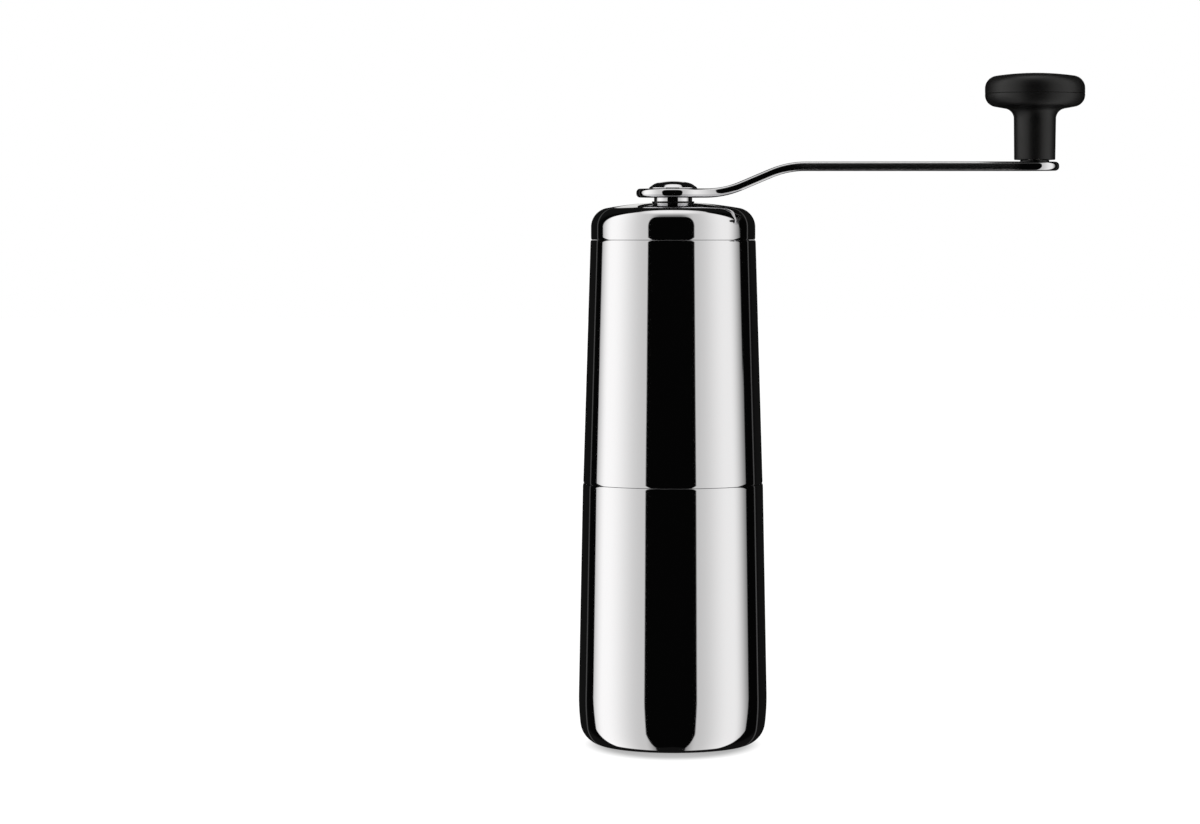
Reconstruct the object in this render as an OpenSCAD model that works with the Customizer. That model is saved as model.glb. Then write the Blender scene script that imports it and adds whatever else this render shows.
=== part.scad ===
// Hand crank coffee grinder with a conical ceramic burr set.
// A steel cup, a steel body and a steel lid stack on one axis; a crank with a turning knob drives the burr.
// Frame: origin at the centre of the flat base, +Z up, the crank points along +X. Units are millimetres.

/* [Steel shells] */
// Height of the grounds cup, base to rim
cup_height = 84; // [70:1:120]
// Height of the body shell between the two seams
body_height = 77.8; // [62:0.1:110]
// Height of the lid, from its seam to its crown
lid_height = 12; // [10:0.1:16]
// Outer diameter of the cup at its rim
seam_d = 57.8; // [56:0.1:70]
// Draft of the cup wall, in degrees: the cup widens towards its base
cup_draft = 1.1; // [0.5:0.1:1.5]
// Draft of the body wall, in degrees: the body narrows towards the lid
body_draft = 1.7; // [1:0.05:1.9]
// Sheet thickness of the cup and the body
steel_wall = 1; // [0.8:0.1:1.1]
// Sheet thickness of the lid
lid_wall = 0.9; // [0.7:0.1:1]
// Wall of the cup where the body plugs in
mouth_wall = 1.25; // [1.2:0.05:1.6]
// Open gap that shows at each seam
seam_gap = 0.2; // [0.1:0.05:0.4]
// How far the upper shell stands inside the lower one at a seam
seam_step = 0.15; // [0.05:0.05:0.3]
// Rounding of the outer shell edges at the seams
rim_round = 0.5; // [0.3:0.05:0.6]
// Radius of the long sweep from the cup wall to the base corner
base_sweep_r = 70; // [50:1:80]
// Angle that the long sweep turns, in degrees
base_sweep_angle = 7; // [5:1:12]
// Radius of the base corner
base_corner_r = 7.7; // [6:0.1:10]
// Radius of the lid's shoulder
lid_corner_r = 6.2; // [5:0.1:7.5]
// Radius of the lid's shallow dome
lid_dome_r = 120; // [100:1:160]

/* [Body inside] */
// How far the burr housing plugs into the cup
spigot_depth = 13.5; // [12:0.1:16]
// Wall of the spigot
spigot_wall = 3; // [2.8:0.1:3.2]
// How far the feed funnel over the burr housing reaches up inside the body shell
housing_rise = 27; // [25:0.1:34]
// Wall of the funnel and of the hopper liner
liner_wall = 1.6; // [1.2:0.1:2]
// Wall that the hopper liner keeps around the lid seat
seat_wall = 1; // [0.8:0.1:1.2]
// Depth of the lid seat below the top of the liner
seat_depth = 14; // [13:0.1:16]
// Drop from the body's top edge to the top of the liner
liner_drop = 1.5; // [1:0.1:3]
// Width of the ledge that carries the upper bush carrier
ledge_width = 3.6; // [3.4:0.1:4.2]
// Height of that ledge
ledge_height = 5.5; // [5:0.1:7]
// Radius of the two central bosses that hold the bushes
boss_r = 8; // [7.6:0.1:9]
// Height of the two central bosses
boss_height = 10.8; // [9:0.1:12]
// Width of the three arms of each spider
spider_width = 4.5; // [3.5:0.1:6]
// Height of the arms in the feed funnel
spider_height = 6; // [4:0.1:7]
// Thickness of the upper bush carrier
carrier_thickness = 2.8; // [2.2:0.1:3.2]
// Radial width of the carrier's rim
carrier_rim = 3.8; // [3.6:0.1:4.5]

/* [Burrs] */
// Outer diameter of the ceramic ring burr
ring_burr_d = 36; // [33:0.1:37]
// Height of the ring burr
ring_burr_height = 13; // [12.5:0.1:14]
// How far the ring burr's lower face lies below the cup rim
ring_burr_drop = 4; // [3.5:0.1:5]
// Wall of the ring burr at its lower face, outside its teeth
ring_foot_wall = 3.05; // [2.6:0.05:3.6]
// How far the fine zone closes in from the lower face to the throat
ring_closing = 1.6; // [1.2:0.1:2.2]
// Wall of the ring burr at its upper face
ring_head_wall = 2.4; // [1.8:0.1:3]
// Height of the fine grinding zone of both burrs
fine_zone = 7; // [6:0.1:7.5]
// Gap between the two burrs' teeth at the stored setting
burr_gap = 0.52; // [0.45:0.01:0.7]
// Height of the cone burr
cone_burr_height = 16; // [15:0.1:17]
// How far the cone burr's lower face lies below the ring burr's
cone_burr_drop = 1.4; // [1:0.1:1.6]
// Wall of the cone burr at its top, outside its bore
cone_top_wall = 3.45; // [3:0.05:4.2]
// Number of fine teeth on each burr
fine_teeth = 40; // [32:8:48]
// Number of feed flutes on each burr
feed_flutes = 8; // [4:4:8]
// Depth of the fine teeth
fine_depth = 0.7; // [0.5:0.1:0.9]
// Depth of the feed flutes
flute_depth = 1.9; // [1.4:0.1:2.1]
// Twist of the teeth over a burr's height, in degrees
tooth_twist = 26; // [15:1:35]
// Thickness of the plate that holds the ring burr
retainer_thickness = 2.1; // [1.6:0.1:2.4]
// How far that plate reaches in under the ring burr
retainer_lip = 2.3; // [1.5:0.1:2.5]
// Wall of the core around the ring burr
core_wall = 3.4; // [3.2:0.1:3.8]

/* [Drive] */
// Radius of the shaft's round journals
journal_r = 3.5; // [3.3:0.05:3.8]
// Width across the flats of the shaft's hexagons
hex_width = 6; // [5.6:0.1:6.2]
// Outer radius of the shaft's threaded end
thread_r = 2.45; // [2.2:0.05:2.6]
// Rise of the adjusting nut for one turn, also the thread's pitch
thread_pitch = 0.8; // [0.5:0.05:1]
// Wall of the two shaft bushes
bush_wall = 1.95; // [1.5:0.05:2.1]
// Radius of the flange on each shaft bush
bush_flange_r = 7.5; // [6.5:0.1:7.6]
// Thickness of that flange
bush_flange_t = 0.7; // [0.5:0.1:1]
// Radius of the burr driver's core
driver_core_r = 5.9; // [5.5:0.1:6.2]
// Radius of the burr driver's flange
driver_flange_r = 10.5; // [10:0.1:12]
// Thickness of the burr driver's flange
driver_flange_t = 1.6; // [1.2:0.1:2]
// Mean radius of the burr spring's coils
spring_r = 4.9; // [4.7:0.1:5.2]
// Radius of the spring's wire
spring_wire_r = 0.45; // [0.35:0.05:0.5]
// Number of coils of the burr spring
spring_coils = 4; // [3:1:5]
// Outer radius of the adjusting nut over its lobes
nut_r = 11.4; // [10.5:0.1:12.5]
// Height of the adjusting nut
nut_height = 6.6; // [6:0.1:7.5]
// Number of finger lobes on the adjusting nut
nut_lobes = 6; // [5:1:8]
// Outer radius of the nut's brass insert
insert_r = 4.6; // [4:0.1:5]

/* [Crank] */
// Distance from the grinder's axis to the knob's axis
crank_reach = 115.4; // [95:0.1:140]
// Thickness of the crank arm
arm_thickness = 2.85; // [2:0.05:3.2]
// Height that the arm climbs between its hub and its straight run
arm_rise = 8.55; // [7:0.05:14]
// Radius of the arm's two bends, on its middle plane
arm_bend_r = 29; // [20:1:34]
// Slope of the arm between its bends, in degrees
arm_slope = 23; // [18:1:30]
// Distance from the axis to the start of the first bend
arm_bend_x = 10.4; // [9:0.1:16]
// Radius of the arm's hub disc
arm_hub_r = 11.8; // [10:0.1:13]
// Half width of the arm at its waist
arm_waist = 5.6; // [4.5:0.1:7]
// Radius of the blend from the hub disc to the waist
arm_blend_r = 20; // [12:1:24]
// Radius of the arm's round end under the knob
arm_end_r = 7.8; // [6:0.1:9]
// Radius of the crank hub's neck
neck_r = 6.1; // [5.8:0.05:6.5]
// Height of the neck that shows between the lid and the arm
neck_show = 1.05; // [0.8:0.05:4]
// Wall of the flanged bush in the lid
hub_bush_wall = 0.6; // [0.5:0.05:0.9]
// Radius of that bush's flange
hub_flange_r = 7.2; // [7.1:0.1:8.2]
// Thickness of that bush's flange
hub_flange_t = 0.4; // [0.3:0.05:0.8]
// Radius of the hub's spigot through the arm
hub_spigot_r = 4; // [3.5:0.1:4.5]
// Radius of the domed cap on the hub
button_r = 7.7; // [6.5:0.1:8.5]
// Height of the domed cap
button_height = 2.75; // [2.5:0.05:4]
// Height of the hub below the lid insert's boss
hub_tail = 2; // [1.8:0.1:3]

/* [Knob] */
// Radius of the knob's head
knob_r = 15.9; // [14:0.1:22]
// Radius of the knob's stem at its foot
stem_r = 6.55; // [6:0.05:8]
// Height of the stem up to its flare
stem_height = 13.1; // [8:0.1:30]
// Radius of the flare under the head
flare_r = 3.3; // [2.5:0.1:3.6]
// Height from the start of the flare to the head's lowest point
flare_rise = 3.8; // [3.7:0.1:6]
// Radius of the head's lower edge
head_edge_r = 3.8; // [2.5:0.1:4.5]
// Height of the head's straight side below the split line
head_side = 0.35; // [0.2:0.05:5]
// Height of the knob's cap above the split line
cap_height = 6.6; // [5.6:0.1:10]
// Radius of the cap's shoulder
cap_shoulder_r = 4; // [3:0.1:4.5]
// Radius of the cap's shallow dome
cap_dome_r = 87; // [75:1:200]
// Wall of the cap at its centre
cap_wall = 3.4; // [2:0.1:3.6]
// Depth that the cap plugs into the grip
cap_plug = 2.6; // [2:0.1:3.2]
// Wall of the grip around that plug
grip_wall = 2.4; // [1.8:0.1:3]
// Depth of the screw head's seat below the split line
pin_recess = 5.4; // [5:0.1:6]
// Thickness of the washer under the knob
knob_washer_t = 0.5; // [0.4:0.1:1.2]
// Radius of the washer under the knob
knob_washer_r = 4.65; // [4.2:0.05:5.5]
// Radius of the shoulder screw's shank
knob_pin_r = 2.5; // [2.2:0.1:2.8]
// Wall of the sleeve that turns on the shank
sleeve_wall = 1.4; // [1:0.1:1.5]

/* [Lid inside] */
// Wall of the lid insert's skirt
skirt_wall = 2.9; // [2.7:0.1:3.2]
// Depth of the skirt below the lid's seam
skirt_depth = 10; // [9:0.1:11.5]
// Thickness of the lid insert's disc
insert_disc = 1.6; // [1.2:0.1:2]
// Wall of the boss that carries the hub bush
insert_boss_wall = 2.7; // [2.2:0.1:3]

/* [Fits and fasteners] */
// Running clearance of a shaft in its bush, on the radius
run_gap = 0.05; // [0.03:0.01:0.08]
// Clearance between a shell and what is fitted inside it
fit_gap = 0.08; // [0.05:0.01:0.12]
// Clearance of a part that plugs in and pulls out, on the radius
plug_gap = 0.3; // [0.2:0.01:0.4]
// Clearance left outside a sealing ring in its seat
seal_gap = 0.1; // [0.05:0.01:0.15]
// Clearance on each flat of a hexagonal socket
socket_gap = 0.06; // [0.04:0.01:0.1]
// Axial play between parts that turn against each other
turn_gap = 0.1; // [0.05:0.05:0.15]
// Wire radius of the body's sealing ring
body_seal_r = 0.9; // [0.8:0.05:1]
// Wire radius of the lid's sealing ring
lid_seal_r = 0.7; // [0.6:0.05:0.8]
// Radius of the small screws' shanks
screw_r = 0.9; // [0.7:0.05:1]
// Length of the small screws below their heads
screw_length = 7; // [6:0.1:8]
// Radius of the small screws' heads
screw_head_r = 1.7; // [1.5:0.05:1.8]
// Height of the small screws' heads
screw_head_t = 1.2; // [0.9:0.1:1.5]

/* [Hidden] */
$fn = 96;
steps = 12;          // straight pieces in each drawn arc
eps = 0.01;          // overlap of a cut with the face that it starts from

// Heights of the stack
body_z0 = cup_height + seam_gap;
body_z1 = body_z0 + body_height;
lid_z0 = body_z1 + seam_gap;
lid_z1 = lid_z0 + lid_height;
arm_z0 = lid_z1 + hub_flange_t + neck_show;
arm_z1 = arm_z0 + arm_thickness;
run_z0 = arm_z0 + arm_rise;
run_z1 = run_z0 + arm_thickness;
grip_z0 = run_z1 + knob_washer_t + turn_gap;
flare_z = grip_z0 + stem_height;
head_z0 = flare_z + flare_rise;
split_z = head_z0 + head_edge_r + head_side;
knob_z1 = split_z + cap_height;

// Radii of the shells
cup_rim_r = seam_d/2;
body_foot_r = cup_rim_r - seam_step;
body_top_r = body_foot_r - body_height*tan(body_draft);
lid_r = body_top_r - seam_step;
cup_bore_r = cup_rim_r - mouth_wall;
spigot_r = cup_bore_r - plug_gap;
seat_r = body_top_r - steel_wall - fit_gap - seat_wall;
skirt_r = seat_r - plug_gap/2;
function shell_bore(z) = body_top_r - steel_wall - fit_gap + (body_z1 - z)*tan(body_draft);

// Burr zone
spigot_z0 = cup_height - spigot_depth;
ring_r = ring_burr_d/2;
ring_mouth_r = ring_r - ring_foot_wall;
ring_throat_r = ring_mouth_r - ring_closing;
ring_flare_r = ring_r - ring_head_wall;
ring_z0 = cup_height - ring_burr_drop;
ring_z1 = ring_z0 + ring_burr_height;
throat_z = ring_z0 + fine_zone;
burr_slope = ring_closing/fine_zone;
cone_z0 = ring_z0 - cone_burr_drop;
cone_z1 = cone_z0 + cone_burr_height;
cone_r_at_ring_foot = ring_mouth_r - burr_gap;
cone_foot_r = cone_r_at_ring_foot + cone_burr_drop*burr_slope;
cone_waist_r = cone_r_at_ring_foot - ring_closing;
cone_bore_r = driver_core_r + run_gap;
cone_top_r = cone_bore_r + cone_top_wall;
retainer_z1 = ring_z0 - turn_gap;
retainer_z0 = retainer_z1 - retainer_thickness;
core_r = ring_r + run_gap + core_wall;
core_bolt_r = ring_r + run_gap + core_wall/2;
feed_r = ring_flare_r + 0.4;
web_z0 = ring_z1 + 3;
join_z = web_z0 + 2;
housing_z1 = body_z0 + housing_rise;
boss_z0 = housing_z1 - spider_height - 2;
boss_z1 = boss_z0 + boss_height;

// Hopper and upper bush
liner_z0 = housing_z1 + seam_gap;
liner_z1 = body_z1 - liner_drop;
ledge_z = liner_z1 - seat_depth;
ledge_bolt_r = seat_r - screw_head_r - 0.2;
carrier_z1 = ledge_z + carrier_thickness;
top_boss_z1 = ledge_z + boss_height*0.6;
top_boss_z0 = top_boss_z1 - boss_height;

// Drive line
bush_r = journal_r + run_gap + bush_wall;
hex_r = hex_width/2/cos(30);
hex_socket_r = (hex_width/2 + socket_gap)/cos(30);
nut_z1 = cone_z0 - turn_gap - driver_flange_t - turn_gap;
nut_z0 = nut_z1 - nut_height;
shaft_z0 = nut_z0 - 2*thread_pitch - 1;
thread_z1 = nut_z1 + 2*thread_pitch + 0.8;
driver_z0 = cone_z0 - turn_gap - driver_flange_t;
lower_flange_z0 = boss_z0 - bush_flange_t;
spring_washer_t = 0.5;
spring_z1 = lower_flange_z0 - turn_gap - spring_washer_t;
spring_z0 = cone_z1 + 0.2;
clip_t = 0.9;
clip_depth = 0.7;
shaft_clip_z = boss_z1 + turn_gap;

// Crank hub in the lid
hub_bush_r = neck_r + run_gap + hub_bush_wall;
lid_boss_r = hub_bush_r + run_gap + insert_boss_wall;
lid_boss_z0 = lid_z0 - 0.8;
hub_washer_t = 0.4;
hub_washer_z0 = lid_boss_z0 - turn_gap - hub_washer_t;
hub_clip_z0 = hub_washer_z0 - run_gap - clip_t;
hub_z0 = lid_boss_z0 - hub_tail;
shaft_z1 = lid_z1 - 2.2;
socket_z1 = shaft_z1 + 0.8;
top_hex_z0 = hub_z0 - 3;
seal_z = lid_z0 - skirt_depth*0.6;
body_seal_z = spigot_z0 + 0.48*spigot_depth;

// Knob's inside
pin_foot_r = knob_pin_r - 0.5;
sleeve_r = knob_pin_r + run_gap + sleeve_wall;
sleeve_z1 = split_z - pin_recess;
pin_head_r = sleeve_r + 0.6;
pin_head_t = 2.2;
pin_head_z0 = sleeve_z1 + turn_gap;
recess_r = knob_r - grip_wall;
recess_z = split_z - cap_plug;
press = 0.02;        // clearance of pressed and screwed pieces, on the radius

// ---------------------------------------------------------------- helpers

// Points along an arc about [cx, cy]
function arc(cx, cy, r, a0, a1, n = steps) =
    [for (i = [0:n]) let (a = a0 + (a1 - a0)*i/n) [cx + r*cos(a), cy + r*sin(a)]];

function reversed(list) = [for (i = [len(list) - 1:-1:0]) list[i]];

// A solid of revolution from its half outline of [radius, height] points
module lathe(outline) { rotate_extrude() polygon(outline); }

// A plain ring or tube
module ring(r_out, r_in, z0, z1) {
    translate([0, 0, z0]) difference() {
        cylinder(r = r_out, h = z1 - z0);
        translate([0, 0, -1]) cylinder(r = r_in, h = z1 - z0 + 2);
    }
}

// A round sealing ring
module o_ring(mean_r, wire_r, z) {
    translate([0, 0, z]) rotate_extrude() translate([mean_r, 0]) circle(r = wire_r, $fn = 32);
}

// An open retaining ring that snaps into a groove
module snap_ring(r_out, r_in, z0, gap) {
    difference() {
        ring(r_out, r_in, z0, z0 + clip_t);
        translate([0, -gap/2, z0 - 1]) cube([r_out + 1, gap, clip_t + 2]);
    }
}

// A hexagonal bar or socket with flats facing +-Y
module hex_bar(r, z0, z1) { translate([0, 0, z0]) cylinder(r = r, h = z1 - z0, $fn = 6); }

// A small pan head screw with a hexagonal recess; its head's seat is at z = 0 and its shank points down
module pan_screw() {
    translate([0, 0, -screw_length]) cylinder(r = screw_r, h = screw_length, $fn = 32);
    difference() {
        rotate_extrude() polygon(concat([[0, 0], [screw_head_r, 0], [screw_head_r, screw_head_t*0.4]],
            arc(screw_head_r - screw_head_t*0.6, screw_head_t*0.4, screw_head_t*0.6, 15, 90, 5),
            [[0, screw_head_t]]));
        translate([0, 0, screw_head_t*0.4]) cylinder(r = screw_r*0.8, h = screw_head_t, $fn = 6);
    }
}

// Children repeated three times around the axis
module three_around(turn = 0) { for (i = [0:2]) rotate([0, 0, turn + 120*i]) children(); }

// ---------------------------------------------------------------- steel shells

// Half outline of the cup's outside at a given inset from the surface: wall, long sweep, corner, base
function cup_outline(inset) =
    let (side_z = base_corner_r + (base_sweep_r - base_corner_r)*sin(base_sweep_angle)
            + base_sweep_r*sin(cup_draft),
        side_r = cup_rim_r + (cup_height - side_z)*tan(cup_draft),
        sweep = [side_r - base_sweep_r*cos(cup_draft), side_z - base_sweep_r*sin(cup_draft)],
        reach = base_sweep_r - base_corner_r,
        corner = [sweep[0] + reach*cos(base_sweep_angle), sweep[1] - reach*sin(base_sweep_angle)])
    concat(arc(sweep[0], sweep[1], base_sweep_r - inset, cup_draft, -base_sweep_angle),
        arc(corner[0], corner[1], base_corner_r - inset, -base_sweep_angle, -90),
        [[0, inset]]);

// Grounds cup: drawn steel with a rolled rim, thicker where the body plugs in
module cup_shell() color([0.78, 0.78, 0.8]) {
    seat_z = spigot_z0 - 1.4;
    inner_r = cup_rim_r - steel_wall/cos(cup_draft) + (cup_height - seat_z)*tan(cup_draft);
    lathe(concat(
        arc(cup_rim_r - rim_round, cup_height - rim_round, rim_round, 90, cup_draft, 6),
        cup_outline(0),
        reversed(cup_outline(steel_wall)),
        [[inner_r, seat_z], [cup_bore_r, seat_z + inner_r - cup_bore_r],
            [cup_bore_r, cup_height - 0.3], [cup_bore_r + 0.3, cup_height]]));
}

// Body shell: a drawn steel sleeve, open at both ends
module body_shell() color([0.78, 0.78, 0.8]) {
    foot_in = body_foot_r - steel_wall;
    top_in = body_top_r - steel_wall;
    lathe(concat(
        [[foot_in, body_z0]],
        arc(body_foot_r - rim_round, body_z0 + rim_round, rim_round, -90, 0, 6),
        arc(body_top_r - rim_round, body_z1 - rim_round, rim_round, 0, 90, 6),
        [[top_in, body_z1]]));
}

// Half outline of a crown, a shoulder arc that runs into a shallow dome, at a given inset from its surface
function crown(r, top_z, shoulder_r, dome_r, inset, hole_r) =
    let (dome_z = top_z - dome_r,
        away = sqrt(pow(dome_r - shoulder_r, 2) - pow(r - shoulder_r, 2)),
        turn = atan2(away, r - shoulder_r))
    concat(arc(r - shoulder_r, dome_z + away, shoulder_r - inset, 0, turn),
        arc(0, dome_z, dome_r - inset, turn, 90 - asin(hole_r/(dome_r - inset))));

// Outline of the lid: side, shoulder, shallow dome
function lid_outline(inset) =
    crown(lid_r, lid_z1, lid_corner_r, lid_dome_r, inset, hub_bush_r + run_gap);

// Lid shell: pressed steel with a hole for the hub bush
module lid_shell() color([0.78, 0.78, 0.8]) {
    edge = rim_round*0.7;
    lathe(concat(
        [[lid_r - lid_wall, lid_z0]],
        arc(lid_r - edge, lid_z0 + edge, edge, -90, 0, 6),
        lid_outline(0),
        reversed(lid_outline(lid_wall))));
}

// ---------------------------------------------------------------- body inside

// Burr housing: spigot, core around the ring burr and the web that joins them, in one moulding
module burr_housing() color([0.09, 0.09, 0.1]) {
    spigot_in = spigot_r - spigot_wall;
    difference() {
        lathe([[spigot_r, spigot_z0], [spigot_r, body_z0], [shell_bore(body_z0), body_z0],
            [shell_bore(join_z), join_z], [feed_r, join_z], [feed_r, ring_z1 + turn_gap],
            [ring_r + run_gap, ring_z1 + turn_gap], [ring_r + run_gap, retainer_z1],
            [core_r, retainer_z1], [core_r, web_z0], [spigot_in, web_z0], [spigot_in, spigot_z0]]);
        ring(spigot_r + 1, spigot_r + plug_gap - seal_gap - 2*body_seal_r - run_gap,
            body_seal_z - body_seal_r - 0.1, body_seal_z + body_seal_r + 0.1);
        three_around() translate([core_bolt_r, 0, retainer_z1 - 1])
            cylinder(r = screw_r + run_gap, h = screw_length + 1, $fn = 32);
    }
}

// Feed funnel: closes in from the hopper to the burrs and holds the lower bush on three arms
module feed_funnel() color([0.11, 0.11, 0.12]) {
    funnel_r = shell_bore(housing_z1) - liner_wall;
    difference() {
        union() {
            lathe([[feed_r, join_z], [shell_bore(join_z), join_z], [shell_bore(housing_z1), housing_z1],
                [funnel_r, housing_z1], [funnel_r, housing_z1 - 1.5]]);
            three_around(60) translate([0, -spider_width/2, boss_z0])
                cube([funnel_r + 0.5, spider_width, spider_height]);
            translate([0, 0, boss_z0]) cylinder(r = boss_r, h = boss_height);
        }
        translate([0, 0, boss_z0 - 1]) cylinder(r = bush_r + run_gap, h = boss_height + 2);
    }
}

// Hopper liner: a sleeve inside the steel body with a ledge for the carrier and a seat for the lid
module hopper_liner() color([0.12, 0.12, 0.13]) {
    ledge_r = seat_r - ledge_width;
    ledge_foot = ledge_z - ledge_height;
    run_in = ledge_foot - 3;
    difference() {
        lathe([[shell_bore(liner_z0), liner_z0], [shell_bore(liner_z1), liner_z1],
            [seat_r + 0.4, liner_z1], [seat_r, liner_z1 - 0.6], [seat_r, ledge_z], [ledge_r, ledge_z],
            [ledge_r, ledge_foot], [shell_bore(run_in) - liner_wall, run_in],
            [shell_bore(liner_z0) - liner_wall, liner_z0]]);
        three_around() translate([ledge_bolt_r, 0, ledge_z - screw_length + carrier_thickness - 0.6])
            cylinder(r = screw_r + run_gap, h = screw_length, $fn = 32);
    }
}

// Retainer: the plate that holds the ring burr up in its housing
module burr_retainer() color([0.72, 0.72, 0.74]) {
    difference() {
        ring(core_r - 0.1, ring_r - retainer_lip, retainer_z0, retainer_z1);
        three_around() translate([core_bolt_r, 0, retainer_z0 - 1])
            cylinder(r = screw_r + 0.2, h = retainer_thickness + 2, $fn = 32);
    }
}

module retainer_screws() color([0.6, 0.6, 0.62]) {
    three_around() translate([core_bolt_r, 0, retainer_z0]) rotate([180, 0, 0]) pan_screw();
}

// Sealing ring that holds the cup on the spigot
module body_seal() color([0.15, 0.15, 0.15]) {
    o_ring(spigot_r + plug_gap - seal_gap - body_seal_r, body_seal_r, body_seal_z);
}

// Upper bush carrier: a rim on the liner's ledge with three arms to a central boss
module bush_carrier() color([0.09, 0.09, 0.1]) {
    rim_r = seat_r - run_gap;
    difference() {
        union() {
            ring(rim_r, rim_r - carrier_rim, ledge_z, carrier_z1);
            three_around(60) translate([0, -spider_width/2, ledge_z])
                cube([rim_r - carrier_rim/2, spider_width, carrier_thickness]);
            translate([0, 0, top_boss_z0]) cylinder(r = boss_r, h = boss_height);
        }
        translate([0, 0, top_boss_z0 - 1]) cylinder(r = bush_r + run_gap, h = boss_height + 2);
        three_around() translate([ledge_bolt_r, 0, ledge_z - 1])
            cylinder(r = screw_r + 0.2, h = carrier_thickness + 2, $fn = 32);
    }
}

module carrier_screws() color([0.6, 0.6, 0.62]) {
    three_around() translate([ledge_bolt_r, 0, carrier_z1]) pan_screw();
}

// Flanged plain bush with its flange below the tube
module shaft_bush(z_flange, z_end) {
    ring(bush_r, journal_r + run_gap, min(z_flange, z_end), max(z_flange, z_end));
    low = z_end > z_flange ? z_flange - bush_flange_t : z_flange;
    ring(bush_flange_r, journal_r + run_gap, low, low + bush_flange_t);
}

module lower_bush() color([0.93, 0.92, 0.88]) { shaft_bush(boss_z0, boss_z1); }

module upper_bush() color([0.93, 0.92, 0.88]) { shaft_bush(top_boss_z1, top_boss_z0); }

// ---------------------------------------------------------------- burrs

// One ring of points around a burr: fine teeth and broad feed flutes cut from radius r, turned by a twist
function tooth_ring(r, z, fine, flute, twist) =
    let (count = 2*fine_teeth, span = count/feed_flutes)
    [for (k = [0:count - 1])
        let (a = 360*k/count + twist,
            wave = (1 - cos(360*k/span))/2,
            cut = fine*(k % 2) + flute*wave)
        [(r + cut)*cos(a), (r + cut)*sin(a), z]];

// A closed solid through a stack of equal rings
module ring_stack(rings) {
    n = len(rings[0]);
    top = len(rings) - 1;
    polyhedron(
        points = [for (level = rings) each level],
        faces = concat(
            [[for (k = [0:n - 1]) k]],
            [for (i = [0:top - 1], k = [0:n - 1]) each [
                [i*n + k, (i + 1)*n + k, (i + 1)*n + (k + 1) % n],
                [i*n + k, (i + 1)*n + (k + 1) % n, i*n + (k + 1) % n]]],
            [[for (k = [n - 1:-1:0]) top*n + k]]),
        convexity = 6);
}

// Twist of the teeth at a height, counted from the ring burr's lower face
function twist_at(z) = tooth_twist*(z - ring_z0)/ring_burr_height;

// Cone burr: fine teeth on its lower zone, feed flutes above, a plain bore for the driver
module cone_burr() color([0.93, 0.92, 0.9]) {
    waist_z = throat_z;
    mid_z = (waist_z + cone_z1)/2;
    mid_r = (cone_waist_r + cone_top_r)/2;
    difference() {
        ring_stack([
            tooth_ring(cone_foot_r, cone_z0, -fine_depth, 0, twist_at(cone_z0)),
            tooth_ring((cone_foot_r + cone_waist_r)/2, (cone_z0 + waist_z)/2, -fine_depth, 0,
                twist_at((cone_z0 + waist_z)/2)),
            tooth_ring(cone_waist_r, waist_z, -fine_depth, 0, twist_at(waist_z)),
            tooth_ring(mid_r, mid_z, -fine_depth*0.3, -flute_depth, twist_at(mid_z)),
            tooth_ring(cone_top_r, cone_z1, 0, -flute_depth, twist_at(cone_z1))]);
        translate([0, 0, cone_z0 - 1]) cylinder(r = cone_bore_r, h = cone_burr_height + 2);
    }
}

// Ring burr: a plain cylinder outside, teeth inside that close in to the throat and open to the feed flare
module ring_burr() color([0.93, 0.92, 0.9]) {
    over = 0.5;
    mid_z = (throat_z + ring_z1)/2;
    mid_r = (ring_throat_r + ring_flare_r)/2;
    difference() {
        translate([0, 0, ring_z0]) cylinder(r = ring_r, h = ring_burr_height);
        ring_stack([
            tooth_ring(ring_mouth_r + over*burr_slope, ring_z0 - over, fine_depth, 0, twist_at(ring_z0)),
            tooth_ring((ring_mouth_r + ring_throat_r)/2, (ring_z0 + throat_z)/2, fine_depth, 0,
                twist_at((ring_z0 + throat_z)/2)),
            tooth_ring(ring_throat_r, throat_z, fine_depth, 0, twist_at(throat_z)),
            tooth_ring(mid_r, mid_z, fine_depth*0.3, flute_depth*0.5, twist_at(mid_z)),
            tooth_ring(ring_flare_r, ring_z1 + over, 0, flute_depth*0.5, twist_at(ring_z1))]);
    }
}

// Burr driver: the moulded core that turns the cone burr, with a flange under it
module burr_driver() color([0.09, 0.09, 0.1]) {
    difference() {
        union() {
            translate([0, 0, driver_z0]) cylinder(r = driver_flange_r, h = driver_flange_t);
            translate([0, 0, driver_z0]) cylinder(r = driver_core_r, h = cone_z1 - driver_z0);
        }
        hex_bar(hex_socket_r, driver_z0 - 1, cone_z1 + 1);
    }
}

// ---------------------------------------------------------------- drive line

// Drive shaft: hexagons for the crank and the driver, round journals between, a threaded lower end
module drive_shaft() color([0.7, 0.7, 0.72]) {
    journal_z0 = lower_flange_z0 - turn_gap - spring_washer_t - 0.4;
    difference() {
        union() {
            translate([0, 0, shaft_z0]) cylinder(r = thread_r, h = thread_z1 - shaft_z0, $fn = 48);
            hex_bar(hex_r, thread_z1, journal_z0);
            translate([0, 0, journal_z0]) cylinder(r = journal_r, h = top_hex_z0 - journal_z0);
            hex_bar(hex_r, top_hex_z0, shaft_z1);
        }
        ring(journal_r + 1, journal_r - clip_depth, shaft_clip_z, shaft_clip_z + clip_t + 2*run_gap);
    }
}

// Snap ring that stops the shaft from dropping through the lower bush
module shaft_clip() color([0.55, 0.55, 0.57]) {
    snap_ring(journal_r + 2.6, journal_r - clip_depth + run_gap, shaft_clip_z + run_gap, 2*journal_r - 2.4);
}

// Washer between the burr spring and the lower bush
module spring_washer() color([0.7, 0.7, 0.72]) {
    ring(spring_r + spring_wire_r + 0.9, journal_r + 0.15, spring_z1, spring_z1 + spring_washer_t);
}

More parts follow.
